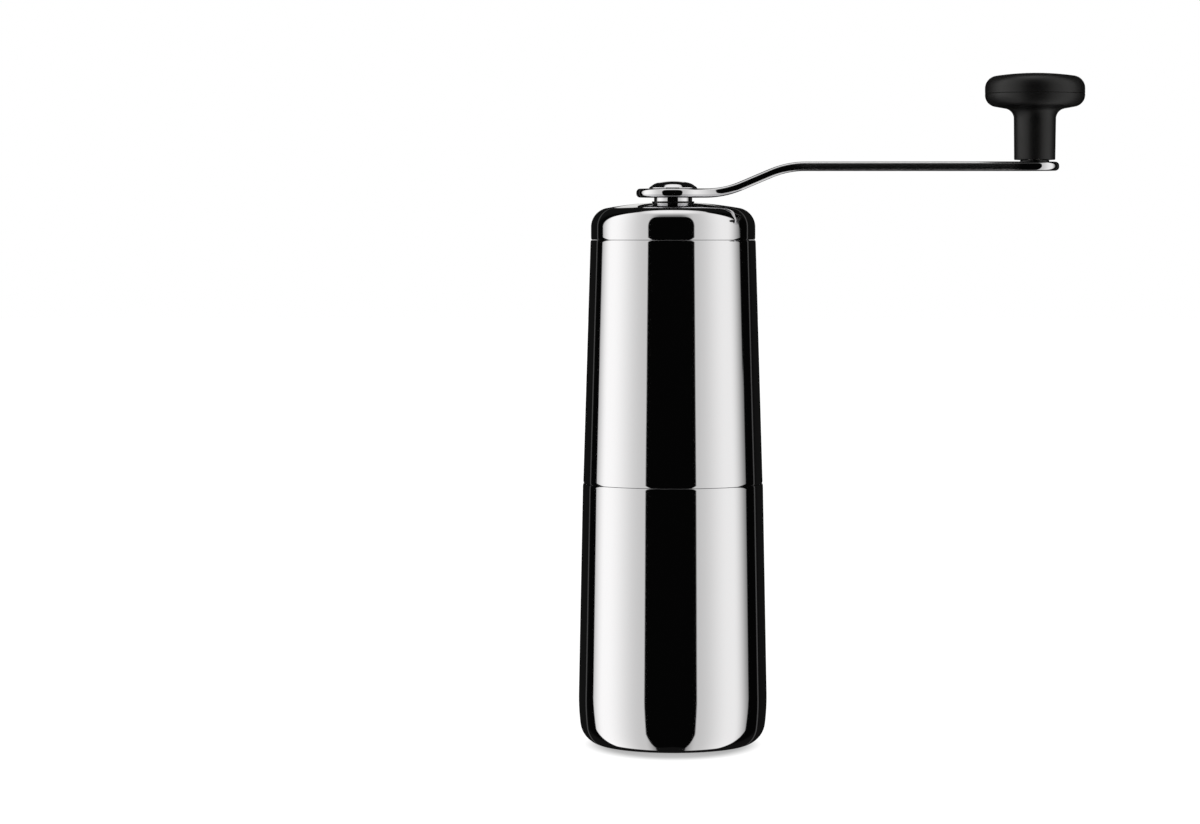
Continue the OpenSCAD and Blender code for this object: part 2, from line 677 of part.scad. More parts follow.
// Burr spring: round wire wound as a helix whose end coils lie flat
module burr_spring() color([0.6, 0.6, 0.62]) {
    sides = 8;
    per_coil = 18;
    count = spring_coils*per_coil;
    low = spring_z0 + spring_wire_r;
    rise = spring_z1 - spring_z0 - 2*spring_wire_r;
    dead = 0.25/spring_coils;
    rings = [for (i = [0:count]) let (a = 360*i/per_coil,
            z = low + rise*max(0, min(1, (i/count - dead)/(1 - 2*dead))))
        [for (k = [0:sides - 1]) let (b = 360*k/sides, r = spring_r + spring_wire_r*cos(b))
            [r*cos(a), r*sin(a), z + spring_wire_r*sin(b)]]];
    ring_stack(rings);
}

// Adjusting nut: a lobed finger wheel under the burr
module adjust_nut() color([0.09, 0.09, 0.1]) {
    lobe_r = nut_r*0.36;
    difference() {
        union() {
            translate([0, 0, nut_z0]) cylinder(r = nut_r - lobe_r*0.75, h = nut_height);
            for (i = [0:nut_lobes - 1]) rotate([0, 0, 360*i/nut_lobes])
                translate([nut_r - lobe_r, 0, nut_z0]) cylinder(r = lobe_r, h = nut_height, $fn = 48);
        }
        translate([0, 0, nut_z0 - 1]) cylinder(r = insert_r + run_gap, h = nut_height + 2);
    }
}

// Brass insert that carries the nut's thread
module nut_insert() color([0.75, 0.6, 0.3]) {
    ring(insert_r, thread_r + run_gap, nut_z0 + 0.4, nut_z1);
}

// ---------------------------------------------------------------- lid inside

// Lid insert: flange that grips the lid shell, skirt that plugs into the body, boss for the hub bush, ribs
module lid_insert() color([0.09, 0.09, 0.1]) {
    flange_r = lid_r - lid_wall - fit_gap;
    flange_z0 = lid_z0 + 0.3;
    disc_z1 = flange_z0 + insert_disc;
    boss_top = lid_z1 - lid_wall - 0.5;
    rib_z1 = lid_z1 - lid_wall - 3.2;
    difference() {
        union() {
            translate([0, 0, flange_z0]) cylinder(r = flange_r, h = insert_disc);
            ring(skirt_r, skirt_r - skirt_wall, lid_z0 - skirt_depth, flange_z0 + eps);
            translate([0, 0, lid_boss_z0]) cylinder(r = lid_boss_r, h = boss_top - lid_boss_z0);
            for (i = [0:5]) rotate([0, 0, 60*i + 30]) translate([0, -0.75, flange_z0])
                cube([flange_r - lid_corner_r + 1.5, 1.5, rib_z1 - flange_z0]);
        }
        translate([0, 0, lid_boss_z0 - 1]) cylinder(r = hub_bush_r + run_gap, h = lid_height + 4);
        ring(skirt_r + 1, skirt_r + plug_gap/2 - seal_gap - 2*lid_seal_r - run_gap,
            seal_z - lid_seal_r - 0.1, seal_z + lid_seal_r + 0.1);
    }
}

// Sealing ring that holds the lid in the body
module lid_seal() color([0.15, 0.15, 0.15]) {
    o_ring(skirt_r + plug_gap/2 - seal_gap - lid_seal_r, lid_seal_r, seal_z);
}

// Flanged bush in the lid; its thin flange shows as a ring around the neck
module hub_bush() color([0.1, 0.1, 0.1]) {
    ring(hub_bush_r, neck_r + run_gap, lid_boss_z0, lid_z1 + hub_flange_t);
    ring(hub_flange_r, neck_r + run_gap, lid_z1, lid_z1 + hub_flange_t);
}

// ---------------------------------------------------------------- crank

// Points of the arm's side view, offset from its middle line: hub, first bend, slope, second bend, run
function arm_side(offset) =
    let (z = arm_z0 + arm_thickness/2,
        drop = arm_bend_r*(1 - cos(arm_slope)),
        run = arm_bend_r*sin(arm_slope),
        slope = (arm_rise - 2*drop)/sin(arm_slope),
        end_x = arm_bend_x + 2*run + slope*cos(arm_slope))
    concat([[-arm_hub_r - 1, z + offset]],
        arc(arm_bend_x, z + arm_bend_r, arm_bend_r - offset, -90, arm_slope - 90),
        arc(end_x, z + arm_rise - arm_bend_r, arm_bend_r + offset, 90 + arm_slope, 90),
        [[crank_reach + arm_end_r + 1, z + arm_rise + offset]]);

// One edge of the arm's plan: hub disc, blend to the waist, long taper, round end
function arm_edge() =
    let (blend_y = arm_waist + arm_blend_r,
        blend_x = sqrt(pow(arm_hub_r + arm_blend_r, 2) - pow(blend_y, 2)),
        turn = atan2(blend_y, blend_x))
    concat(arc(0, 0, arm_hub_r, 180, turn, 2*steps),
        arc(blend_x, blend_y, arm_blend_r, 180 + turn, 270),
        arc(crank_reach, 0, arm_end_r, 90, 0));

module crank_arm() color([0.78, 0.78, 0.8]) {
    edge = arm_edge();
    difference() {
        intersection() {
            rotate([90, 0, 0]) linear_extrude(height = 2*arm_hub_r + 2, center = true)
                polygon(concat(arm_side(-arm_thickness/2), reversed(arm_side(arm_thickness/2))));
            translate([0, 0, arm_z0 - 1]) linear_extrude(height = arm_rise + arm_thickness + 2)
                polygon(concat(edge, [for (i = [len(edge) - 2:-1:1]) [edge[i][0], -edge[i][1]]]));
        }
        translate([0, 0, arm_z0 - 1]) cylinder(r = hub_spigot_r + press, h = arm_thickness + 2);
        translate([crank_reach, 0, run_z0 - 1])
            cylinder(r = pin_foot_r + press, h = arm_thickness + 2, $fn = 48);
    }
}

// Crank hub: the turned neck with the hexagonal socket, a groove for its clip and a spigot through the arm
module crank_hub() color([0.78, 0.78, 0.8]) {
    difference() {
        union() {
            translate([0, 0, hub_z0]) cylinder(r = neck_r, h = arm_z0 - hub_z0);
            translate([0, 0, arm_z0 - 1]) cylinder(r = hub_spigot_r, h = arm_thickness + 1 + button_height*0.4);
        }
        hex_bar(hex_socket_r, hub_z0 - 1, socket_z1);
        ring(neck_r + 1, neck_r - clip_depth, hub_clip_z0 - run_gap, hub_clip_z0 + clip_t + run_gap);
    }
}

// Domed cap screwed on the hub's spigot
module cap_button() color([0.78, 0.78, 0.8]) {
    bore_h = button_height*0.4 + 0.1;
    flat_r = button_r - button_height*0.62;
    dome_rise = button_height*0.34;
    dome_r = (flat_r*flat_r + dome_rise*dome_rise)/2/dome_rise;
    lathe(concat(
        [[hub_spigot_r + press, arm_z1], [button_r, arm_z1], [button_r, arm_z1 + button_height*0.12]],
        arc(0, arm_z1 + button_height - dome_r, dome_r, 90 - asin(flat_r/dome_r), 90),
        [[0, arm_z1 + bore_h], [hub_spigot_r + press, arm_z1 + bore_h]]));
}

// Snap ring under the lid that keeps the crank in the lid
module hub_clip() color([0.55, 0.55, 0.57]) {
    snap_ring(neck_r + 2.4, neck_r - clip_depth + run_gap, hub_clip_z0, 2*neck_r - 3);
}

module hub_washer() color([0.93, 0.92, 0.88]) {
    ring(lid_boss_r - 0.6, neck_r + run_gap, hub_washer_z0, hub_washer_z0 + hub_washer_t);
}

// ---------------------------------------------------------------- knob

// Shoulder screw fixed in the arm's end; the knob turns on its shank
module knob_screw() color([0.7, 0.7, 0.72]) {
    translate([crank_reach, 0, 0]) difference() {
        union() {
            translate([0, 0, run_z0]) cylinder(r = pin_foot_r, h = arm_thickness, $fn = 48);
            translate([0, 0, run_z1]) cylinder(r = knob_pin_r, h = pin_head_z0 - run_z1, $fn = 48);
            translate([0, 0, pin_head_z0]) cylinder(r = pin_head_r, h = pin_head_t, $fn = 48);
        }
        hex_bar(knob_pin_r*0.7, pin_head_z0 + pin_head_t*0.3, pin_head_z0 + pin_head_t + 1);
    }
}

module knob_washer() color([0.08, 0.08, 0.08]) {
    translate([crank_reach, 0, 0]) ring(knob_washer_r, knob_pin_r + run_gap, run_z1, run_z1 + knob_washer_t);
}

// Knob grip: the stem, its flare and the lower half of the head
module knob_grip() color([0.07, 0.07, 0.07]) {
    taper = 0.15;
    under = 11;
    chamfer = 0.12;
    pit_r = pin_head_r + 0.4;
    translate([crank_reach, 0, 0]) lathe(concat(
        [[sleeve_r + press, grip_z0], [stem_r, grip_z0]],
        arc(stem_r + taper + flare_r, flare_z, flare_r, 180, 90 + under),
        arc(knob_r - head_edge_r, head_z0 + head_edge_r, head_edge_r, under - 90, 0),
        [[knob_r, split_z - chamfer], [knob_r - chamfer, split_z], [recess_r, split_z],
            [recess_r, recess_z], [pit_r, recess_z], [pit_r, sleeve_z1], [sleeve_r + press, sleeve_z1]]));
}

// Knob cap: the upper half of the head, a shell with a ring that plugs into the grip
module knob_cap() color([0.07, 0.07, 0.07]) {
    chamfer = 0.12;
    z0 = split_z + 0.05;
    plug_z = recess_z + 0.3;
    plug_out = recess_r - fit_gap;
    plug_in = plug_out - 1.5;
    hollow_z = knob_z1 - cap_wall;
    translate([crank_reach, 0, 0]) lathe(concat(
        [[knob_r - chamfer, z0], [knob_r, z0 + chamfer]],
        crown(knob_r, knob_z1, cap_shoulder_r, cap_dome_r, 0, 0),
        [[0, hollow_z], [plug_in - 1, hollow_z], [plug_in, hollow_z - 1], [plug_in, plug_z],
            [plug_out, plug_z], [plug_out, z0]]));
}

module knob_sleeve() color([0.75, 0.6, 0.3]) {
    translate([crank_reach, 0, 0]) ring(sleeve_r, knob_pin_r + run_gap, grip_z0 + 0.1, sleeve_z1);
}

// ---------------------------------------------------------------- nodes

cup_shell();
body_shell();
hopper_liner();
burr_housing();
feed_funnel();
ring_burr();
burr_retainer();
retainer_screws();
body_seal();
bush_carrier();
carrier_screws();
upper_bush();
lower_bush();
lid_shell();
lid_insert();
lid_seal();
hub_bush();
crank_arm();
crank_hub();
cap_button();
hub_clip();
hub_washer();
knob_screw();
knob_washer();
knob_grip();
knob_cap();
knob_sleeve();
drive_shaft();
shaft_clip();
spring_washer();
burr_spring();
cone_burr();
burr_driver();
adjust_nut();
nut_insert();
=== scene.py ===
# %% [markdown]
# # A hand crank coffee grinder in polished steel
# This notebook dresses a finished construction model of a grinder. The construction fixes every size and
# every joint, so nothing here is moved or fitted. What is left to make is what the eye sees: mirror-bright
# steel, satin black mouldings, ceramic burrs, and the studio whose panels the steel reflects.
# The first step loads the construction.

# %% Load the construction
import math

import bmesh
import bpy
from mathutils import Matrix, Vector


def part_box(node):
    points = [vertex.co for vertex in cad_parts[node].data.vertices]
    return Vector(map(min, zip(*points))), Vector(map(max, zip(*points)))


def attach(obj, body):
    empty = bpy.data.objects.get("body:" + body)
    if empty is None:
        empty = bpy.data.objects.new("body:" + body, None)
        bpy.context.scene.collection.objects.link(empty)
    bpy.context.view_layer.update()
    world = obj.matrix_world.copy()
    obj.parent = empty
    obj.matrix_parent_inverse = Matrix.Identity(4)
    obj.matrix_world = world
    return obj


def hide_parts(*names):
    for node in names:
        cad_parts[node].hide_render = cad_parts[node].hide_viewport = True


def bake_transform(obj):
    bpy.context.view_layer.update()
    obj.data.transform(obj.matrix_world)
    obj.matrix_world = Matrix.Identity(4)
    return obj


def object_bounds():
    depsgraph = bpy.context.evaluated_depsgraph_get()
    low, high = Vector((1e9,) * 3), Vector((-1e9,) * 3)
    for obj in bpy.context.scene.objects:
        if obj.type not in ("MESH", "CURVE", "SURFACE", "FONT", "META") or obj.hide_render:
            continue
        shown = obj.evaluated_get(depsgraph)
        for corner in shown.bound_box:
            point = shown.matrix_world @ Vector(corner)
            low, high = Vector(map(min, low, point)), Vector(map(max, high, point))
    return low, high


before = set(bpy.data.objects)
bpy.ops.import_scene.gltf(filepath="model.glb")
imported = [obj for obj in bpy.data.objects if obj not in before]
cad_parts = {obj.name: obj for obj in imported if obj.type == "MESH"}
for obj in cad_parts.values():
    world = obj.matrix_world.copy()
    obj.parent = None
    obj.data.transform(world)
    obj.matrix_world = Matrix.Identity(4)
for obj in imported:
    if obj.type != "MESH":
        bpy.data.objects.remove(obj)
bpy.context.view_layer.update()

print("nodes:", len(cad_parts))

# %% [markdown]
# ## Small helpers
# Lengths below are written in millimetres, as a maker would, and turned to metres when a mesh is built.
# Colours are written as the hex values that a colour picker shows. Those are sRGB values, and shaders
# work in linear light, so one function converts them.

# %% Units and colours
MM = 0.001


def linear(hex_colour, alpha=1.0):
    """The linear-light RGBA of an sRGB hex colour such as "#D8D9DB"."""
    channels = [int(hex_colour[i:i + 2], 16) / 255 for i in (1, 3, 5)]
    return [c / 12.92 if c <= 0.04045 else ((c + 0.055) / 1.055) ** 2.4 for c in channels] + [alpha]


print("mid grey in linear light:", [round(c, 3) for c in linear("#808080")])

# %% [markdown]
# ## One way to add a shader node
# Every material and the studio's light are small graphs of nodes. One function adds a node of any kind,
# sets its sockets or its own properties by name, and wires the sockets that other nodes feed.

# %% The node helper
def add_node(tree, kind, settings=None, links=None):
    """A new node, with its sockets and properties set and its inputs wired to other nodes' outputs."""
    node = tree.nodes.new(kind)
    for name, value in (settings or {}).items():
        if isinstance(name, int) or name in node.inputs:
            node.inputs[name].default_value = value
        else:
            setattr(node, name, value)
    for name, output in (links or {}).items():
        tree.links.new(output, node.inputs[name])
    return node


def new_material(name):
    """An empty material and its node tree."""
    material = bpy.data.materials.new(name)
    material.use_nodes = True
    material.node_tree.nodes.clear()
    return material, material.node_tree


def finish_material(tree, shader):
    """Wires a surface shader to the material's output."""
    add_node(tree, "ShaderNodeOutputMaterial", links={"Surface": shader.outputs[0]})


def noise(tree, place, size, detail):
    """Smooth random values from 0 to 1 whose features are about a size in millimetres."""
    return add_node(tree, "ShaderNodeTexNoise", {"Scale": 1 / (size * MM), "Detail": detail},
                    {"Vector": place}).outputs["Fac"]


def relief(tree, pattern, depth, under=None, strength=1.0):
    """Shades a pattern as relief of a depth in millimetres, on top of another relief if one is given."""
    links = {"Height": pattern}
    if under is not None:
        links["Normal"] = under
    return add_node(tree, "ShaderNodeBump", {"Strength": strength, "Distance": depth * MM}, links).outputs[0]


print("node helper ready")

# %% [markdown]
# ## Turned shapes
# Most of a grinder is round, and a lathe makes it: half an outline, spun round the axis. Straight walls
# meet small roundings, and a shared normal there would bend the mirror image over the whole wall. So a
# long straight stretch gets an extra point just inside each end, which keeps that bend to a fraction of
# a millimetre.

# %% The lathe
AROUND = 192
SHARP_ANGLE = math.radians(32)


def arc(centre, radius, start, end, count=24):
    """Points on an arc in the outline's plane, angles in degrees, 0 pointing outwards and 90 up."""
    angles = [math.radians(start + (end - start) * i / count) for i in range(count + 1)]
    return [(centre[0] + radius * math.cos(a), centre[1] + radius * math.sin(a)) for a in angles]


def braced(outline, closed, margin=0.25):
    """The outline with an extra point just inside both ends of each long straight stretch."""
    points = []
    count = len(outline)
    for i, (x0, z0) in enumerate(outline):
        points.append((x0, z0))
        if i == count - 1 and not closed:
            break
        x1, z1 = outline[(i + 1) % count]
        length = math.hypot(x1 - x0, z1 - z0)
        if length > 4 * margin:
            for t in (margin / length, 1 - margin / length):
                points.append((x0 + (x1 - x0) * t, z0 + (z1 - z0) * t))
    return points


def mesh_object(name, mesh, smooth=True):
    """Links a mesh into the scene, shaded smooth but with its true edges kept sharp."""
    piece = bpy.data.objects.new(name, mesh)
    bpy.context.scene.collection.objects.link(piece)
    if smooth:
        mesh.shade_smooth()
        mesh.set_sharp_from_angle(angle=SHARP_ANGLE)
    return piece


def mesh_from(name, points, faces, smooth=True):
    """An object from points in millimetres and faces, with its normals turned outwards."""
    mesh = bpy.data.meshes.new(name)
    mesh.from_pydata([(x * MM, y * MM, z * MM) for x, y, z in points], [], faces)
    work = bmesh.new()
    work.from_mesh(mesh)
    bmesh.ops.remove_doubles(work, verts=work.verts, dist=1e-7)
    bmesh.ops.recalc_face_normals(work, faces=work.faces)
    work.to_mesh(mesh)
    work.free()
    return mesh_object(name, mesh, smooth)


def lathe(name, outline, axis_x=0.0, around=AROUND, closed=True):
    """A solid of revolution from its half outline of (radius, height) points in millimetres."""
    outline = braced(outline, closed)
    rings = len(outline)
    points = []
    for radius, height in outline:
        for k in range(around):
            a = 2 * math.pi * k / around
            points.append((axis_x + radius * math.cos(a), radius * math.sin(a), height))
    faces = []
    for i in range(rings if closed else rings - 1):
        j = (i + 1) % rings
        if outline[i][0] < 1e-9 and outline[j][0] < 1e-9:
            continue
        for k in range(around):
            n = (k + 1) % around
            faces.append((i * around + k, i * around + n, j * around + n, j * around + k))
    return mesh_from(name, points, faces)


print("lathe ready:", AROUND, "facets round a circle")

# %% [markdown]
# ## The camera
# The grinder is seen from the front with a long lens, from a height of about three quarters of its own.
# The lens looks slightly down and a little to the left of the middle of the whole object, so the body
# stands right of centre with the crank reaching further right.

# %% Camera
CAMERA_DISTANCE = 1250 * MM
CAMERA_HEIGHT = 165 * MM
FOCAL_PIXELS = 3900
FRAME_PIXELS = 1200
AIM_DOWN = math.radians(2.659)
AIM_LEFT = math.radians(1.073)
SENSOR = 36.0

camera_data = bpy.data.cameras.new("camera")
camera_data.sensor_width = SENSOR
camera_data.lens = FOCAL_PIXELS / FRAME_PIXELS * SENSOR
camera_data.clip_start = 0.05
camera_data.clip_end = 50
camera = bpy.data.objects.new("camera", camera_data)
bpy.context.scene.collection.objects.link(camera)
camera.location = (0, -CAMERA_DISTANCE, CAMERA_HEIGHT)
camera.rotation_euler = (math.pi / 2 - AIM_DOWN, 0, AIM_LEFT)
bpy.context.scene.camera = camera
print("lens:", round(camera_data.lens, 1), "mm")

# %% [markdown]
# ## The studio
# A mirror shows only what stands around it, so polished steel is lit by placing panels, not lamps. A dark
# gap faces the front, where the camera stands. A bright cloth stands on each side of it and both meet
# overhead, and the back of the tent is open and dark under an arch. That gives the long
# black stripe down the middle of each turned shell, the bright bands beside it, and the dark rims. One sky
# shader holds all of it as a function of direction. The camera itself sees plain white behind the
# grinder, and matt surfaces are lit by an even white tent.

# %% Directions as angles
world = bpy.data.worlds.new("studio")
world.use_nodes = True
bpy.context.scene.world = world
sky = world.node_tree
sky.nodes.clear()


def math_node(tree, operation, *values, clamp=False):
    """A Math node on numbers or other nodes' outputs; returns its output."""
    node = add_node(tree, "ShaderNodeMath", {"operation": operation, "use_clamp": clamp})
    for i, value in enumerate(values):
        if isinstance(value, bpy.types.NodeSocket):
            tree.links.new(value, node.inputs[i])
        else:
            node.inputs[i].default_value = value
    return node.outputs[0]


def ramp_up(tree, value, start, end, low=0.0, high=1.0):
    """Goes smoothly from low to high as value passes from start to end."""
    node = add_node(tree, "ShaderNodeMapRange",
                    {"interpolation_type": "SMOOTHSTEP", "From Min": start, "From Max": end,
                     "To Min": low, "To Max": high}, {"Value": value})
    return node.outputs[0]


def square_sum(tree, across, up):
    """The length of a two-part offset, squared."""
    across_squared = math_node(tree, "MULTIPLY", across, across)
    up_squared = math_node(tree, "MULTIPLY", up, up)
    return math_node(tree, "ADD", across_squared, up_squared)


direction = add_node(sky, "ShaderNodeTexCoord").outputs["Generated"]
xyz = add_node(sky, "ShaderNodeSeparateXYZ", links={"Vector": direction})
to_right, to_back, to_top = xyz.outputs
to_front = math_node(sky, "MULTIPLY", to_back, -1.0)
turn = math_node(sky, "MULTIPLY", math_node(sky, "ARCTAN2", to_right, to_front), 180 / math.pi)
height = math_node(sky, "MULTIPLY", math_node(sky, "ARCSINE", to_top), 180 / math.pi)
aside = math_node(sky, "ABSOLUTE", turn)
print("sky angles: turn from the front, height above the horizon")

# %% [markdown]
# A mirror that leans half an angle sends the view a whole angle away. So it helps to draw the studio on a
# flat sheet where a direction's place is the lean of the mirror that would show it: across and up are the
# tangents of half the angles. On that sheet the dark gap is a tall box with round corners, and it looks
# the same on a shoulder, on a rim or round the base as it does on the straight wall.

# %% The dark gap in front
GAP_LEFT, GAP_RIGHT = -34.4, 29.0
GAP_TOP = 61.5
CORNER_WIDE, CORNER_TALL = 0.1, 0.56
EDGE = 0.012
TABLE_NARROWS, NARROWS_FROM, NARROWS_MOST = 0.1, 0.02, 1.15


def half_tangent(degrees):
    """Where a direction lies on the mirror sheet."""
    return math.tan(math.radians(degrees / 2))


beside = math_node(sky, "MAXIMUM", math_node(sky, "ADD", to_front, 1.0), 0.0001)
across = math_node(sky, "DIVIDE", to_right, beside)
up = math_node(sky, "DIVIDE", to_top, beside)
swing = math_node(sky, "MULTIPLY", math_node(sky, "ARCTANGENT", across), 360 / math.pi)
middle = (half_tangent(GAP_LEFT) + half_tangent(GAP_RIGHT)) / 2
half_gap = (half_tangent(GAP_RIGHT) - half_tangent(GAP_LEFT)) / 2
below = math_node(sky, "MULTIPLY", up, -1.0)
gap_top = half_tangent(GAP_TOP)
near_top = math_node(sky, "SUBTRACT", up, gap_top - CORNER_TALL)
near_top = math_node(sky, "DIVIDE", near_top, CORNER_TALL, clamp=True)
round_in = math_node(sky, "SUBTRACT", 1.0, math_node(sky, "SQRT", math_node(
    sky, "SUBTRACT", 1.0, math_node(sky, "MULTIPLY", near_top, near_top))))
off = math_node(sky, "ABSOLUTE", math_node(sky, "SUBTRACT", across, middle))
low_in = math_node(sky, "MAXIMUM", math_node(sky, "SUBTRACT", below, NARROWS_FROM), 0.0)
low_in = math_node(sky, "MINIMUM", low_in, NARROWS_MOST)
edge = math_node(sky, "SUBTRACT", half_gap, math_node(sky, "MULTIPLY", round_in, CORNER_WIDE))
edge = math_node(sky, "SUBTRACT", edge, math_node(sky, "MULTIPLY", low_in, TABLE_NARROWS))
past_side = math_node(sky, "SUBTRACT", off, edge)
past_top = math_node(sky, "SUBTRACT", up, gap_top)
beyond_gap = math_node(sky, "DIVIDE", math_node(sky, "MAXIMUM", past_side, past_top), EDGE, clamp=True)
print(f"dark gap {2 * half_gap:.2f} wide on the mirror sheet, closed {GAP_TOP} degrees up")

# %% [markdown]
# Behind, the tent stands open up to 63 degrees, with round upper corners. Below the horizon the pale table
# carries the light on, until it meets the shadow of the grinder's own base.

# %% The opening behind and the table
BACK_LEFT, BACK_RIGHT = -116.3, 105.8
BACK_TOP, BACK_CORNER = 63.0, 20.0
BACK_EDGE = 1.2
TABLE_SIDE, TABLE_LEAN, TABLE_END = 1.6, 0.4, 1.85
TABLE_SHORT_RIGHT = 0.22
TABLE_SIDE_SOFT, TABLE_END_SOFT = 0.02, 0.1

is_left = math_node(sky, "LESS_THAN", turn, 0.0)
from_back = math_node(sky, "SUBTRACT", 180.0, aside)
left_shift = math_node(sky, "MULTIPLY", is_left, BACK_RIGHT + BACK_LEFT)
side_angle = math_node(sky, "ADD", 180 - BACK_RIGHT, left_shift)
out_side = math_node(sky, "SUBTRACT", from_back, math_node(sky, "SUBTRACT", side_angle, BACK_CORNER))
out_top = math_node(sky, "SUBTRACT", height, BACK_TOP - BACK_CORNER)
out = math_node(sky, "SQRT", square_sum(sky, math_node(sky, "MAXIMUM", out_side, 0.0),
                                        math_node(sky, "MAXIMUM", out_top, 0.0)))
over_back = ramp_up(sky, out, BACK_CORNER - BACK_EDGE, BACK_CORNER + BACK_EDGE)
table_side = math_node(sky, "SUBTRACT", TABLE_SIDE, math_node(sky, "MULTIPLY", below, TABLE_LEAN))
is_right = math_node(sky, "SUBTRACT", 1.0, is_left)
table_side = math_node(sky, "SUBTRACT", table_side, math_node(sky, "MULTIPLY", is_right, TABLE_SHORT_RIGHT))
in_side = math_node(sky, "SUBTRACT", table_side, math_node(sky, "ABSOLUTE", across))
table_width = ramp_up(sky, in_side, -TABLE_SIDE_SOFT, TABLE_SIDE_SOFT)
table_depth = ramp_up(sky, below, TABLE_END - TABLE_END_SOFT, TABLE_END + TABLE_END_SOFT, 1.0, 0.0)
on_table = math_node(sky, "MULTIPLY", table_width, table_depth)
is_below = math_node(sky, "LESS_THAN", height, 0.0)
outer = add_node(sky, "ShaderNodeMix", {"data_type": "FLOAT"},
                 {0: is_below, 2: over_back, 3: on_table}).outputs[0]
tent = math_node(sky, "MULTIPLY", beyond_gap, outer)
print("open behind from", BACK_RIGHT, "to", BACK_LEFT, "degrees,", BACK_TOP, "high")

# %% [markdown]
# The panels are cloth lit from behind, brightest well out to the side, so each falls off towards the gap
# and softly at its far end. Nothing in a real room is quite black: a thin faint slit stands on each side
# where two curtains meet, and low behind the tent a pale wall shows, which the lid's crown catches along
# its far edge. Overhead the two cloths overlap over the gap, dim at first and brightest past the top.

# %% Brightness and the three kinds of ray
PANEL_LIGHT = 1.41
LEFT_FALL, LEFT_NEAR_GAP = (-90, -36), 0.58
RIGHT_FALL, RIGHT_NEAR_GAP, RIGHT_FAR = (28, 75), 0.56, 0.86
LEFT_END, RIGHT_END = (-135, -95), (81, 118)
DARK, DARK_BEHIND, BEHIND_FADE = 0.0019, 0.008, (40, 55)
SLIT_LEFT, SLIT_RIGHT, SLIT_WIDTH, SLIT_LIGHT = -132.6, 128.4, 2.0, 0.09
WALL_TOP, WALL_LEFT, WALL_RIGHT, WALL_LIGHT = 16.0, 0.25, 0.17, 0.8
WALL_FOOT, WALL_TOP_SOFT, WALL_SIDE_SOFT, WALL_FROM_BACK = (0.0, 0.8), 1.0, 0.02, (15, 20)
JOINT_DARK, JOINT_UP, JOINT_ASIDE = 0.72, (0.62, 0.95), (0.12, 0.3)
CROWN_BRIGHT, CROWN_UP, CROWN_ASIDE = 0.55, (0.85, 1.1), (0.2, 0.5)
BACKDROP_WHITE = 1.0
TENT_LIGHT = 1.2

fall_left = math_node(sky, "MULTIPLY", ramp_up(sky, swing, *LEFT_FALL, 1.0, LEFT_NEAR_GAP),
                      ramp_up(sky, swing, *LEFT_END))
fall_right = math_node(sky, "MULTIPLY", ramp_up(sky, swing, *RIGHT_FALL, RIGHT_NEAR_GAP, RIGHT_FAR),
                       ramp_up(sky, swing, *RIGHT_END, 1.0, 0.0))
fall = add_node(sky, "ShaderNodeMix", {"data_type": "FLOAT"},
                {0: is_left, 2: fall_right, 3: fall_left}).outputs[0]
joint = math_node(sky, "MULTIPLY", ramp_up(sky, up, *JOINT_UP, JOINT_DARK, 0.0),
                  ramp_up(sky, off, *JOINT_ASIDE, 1.0, 0.0))
crown_light = math_node(sky, "MULTIPLY", ramp_up(sky, up, *CROWN_UP, 0.0, CROWN_BRIGHT),
                        ramp_up(sky, off, *CROWN_ASIDE, 1.0, 0.0))
overhead = math_node(sky, "SUBTRACT", math_node(sky, "ADD", 1.0, crown_light), joint)
lit = math_node(sky, "MULTIPLY", math_node(sky, "MULTIPLY", tent, fall), PANEL_LIGHT)
lit = math_node(sky, "MULTIPLY", lit, overhead)
from_left_slit = math_node(sky, "ABSOLUTE", math_node(sky, "SUBTRACT", swing, SLIT_LEFT))
from_right_slit = math_node(sky, "ABSOLUTE", math_node(sky, "SUBTRACT", swing, SLIT_RIGHT))
to_slit = math_node(sky, "MINIMUM", from_left_slit, from_right_slit)
slit = ramp_up(sky, to_slit, SLIT_WIDTH * 0.5, SLIT_WIDTH, SLIT_LIGHT, 0.0)
wall_low = ramp_up(sky, height, *WALL_FOOT)
wall_high = ramp_up(sky, height, WALL_TOP - WALL_TOP_SOFT, WALL_TOP + WALL_TOP_SOFT, 1.0, 0.0)
fan = math_node(sky, "DIVIDE", to_right, math_node(sky, "MAXIMUM", to_top, 0.001))
wall_left = ramp_up(sky, fan, -WALL_LEFT - WALL_SIDE_SOFT, -WALL_LEFT + WALL_SIDE_SOFT, 0.0, WALL_LIGHT)
wall_right = ramp_up(sky, fan, WALL_RIGHT - WALL_SIDE_SOFT, WALL_RIGHT + WALL_SIDE_SOFT, 1.0, 0.0)
wall_side = math_node(sky, "MULTIPLY", wall_left, wall_right)
wall_side = math_node(sky, "MULTIPLY", wall_side, ramp_up(sky, from_back, *WALL_FROM_BACK, 1.0, 0.0))
wall = math_node(sky, "MULTIPLY", math_node(sky, "MULTIPLY", wall_low, wall_high), wall_side)
behind = ramp_up(sky, from_back, *BEHIND_FADE, DARK_BEHIND, DARK)
extra = math_node(sky, "MAXIMUM", math_node(sky, "MAXIMUM", slit, wall), behind)
reflected = math_node(sky, "MAXIMUM", lit, extra)

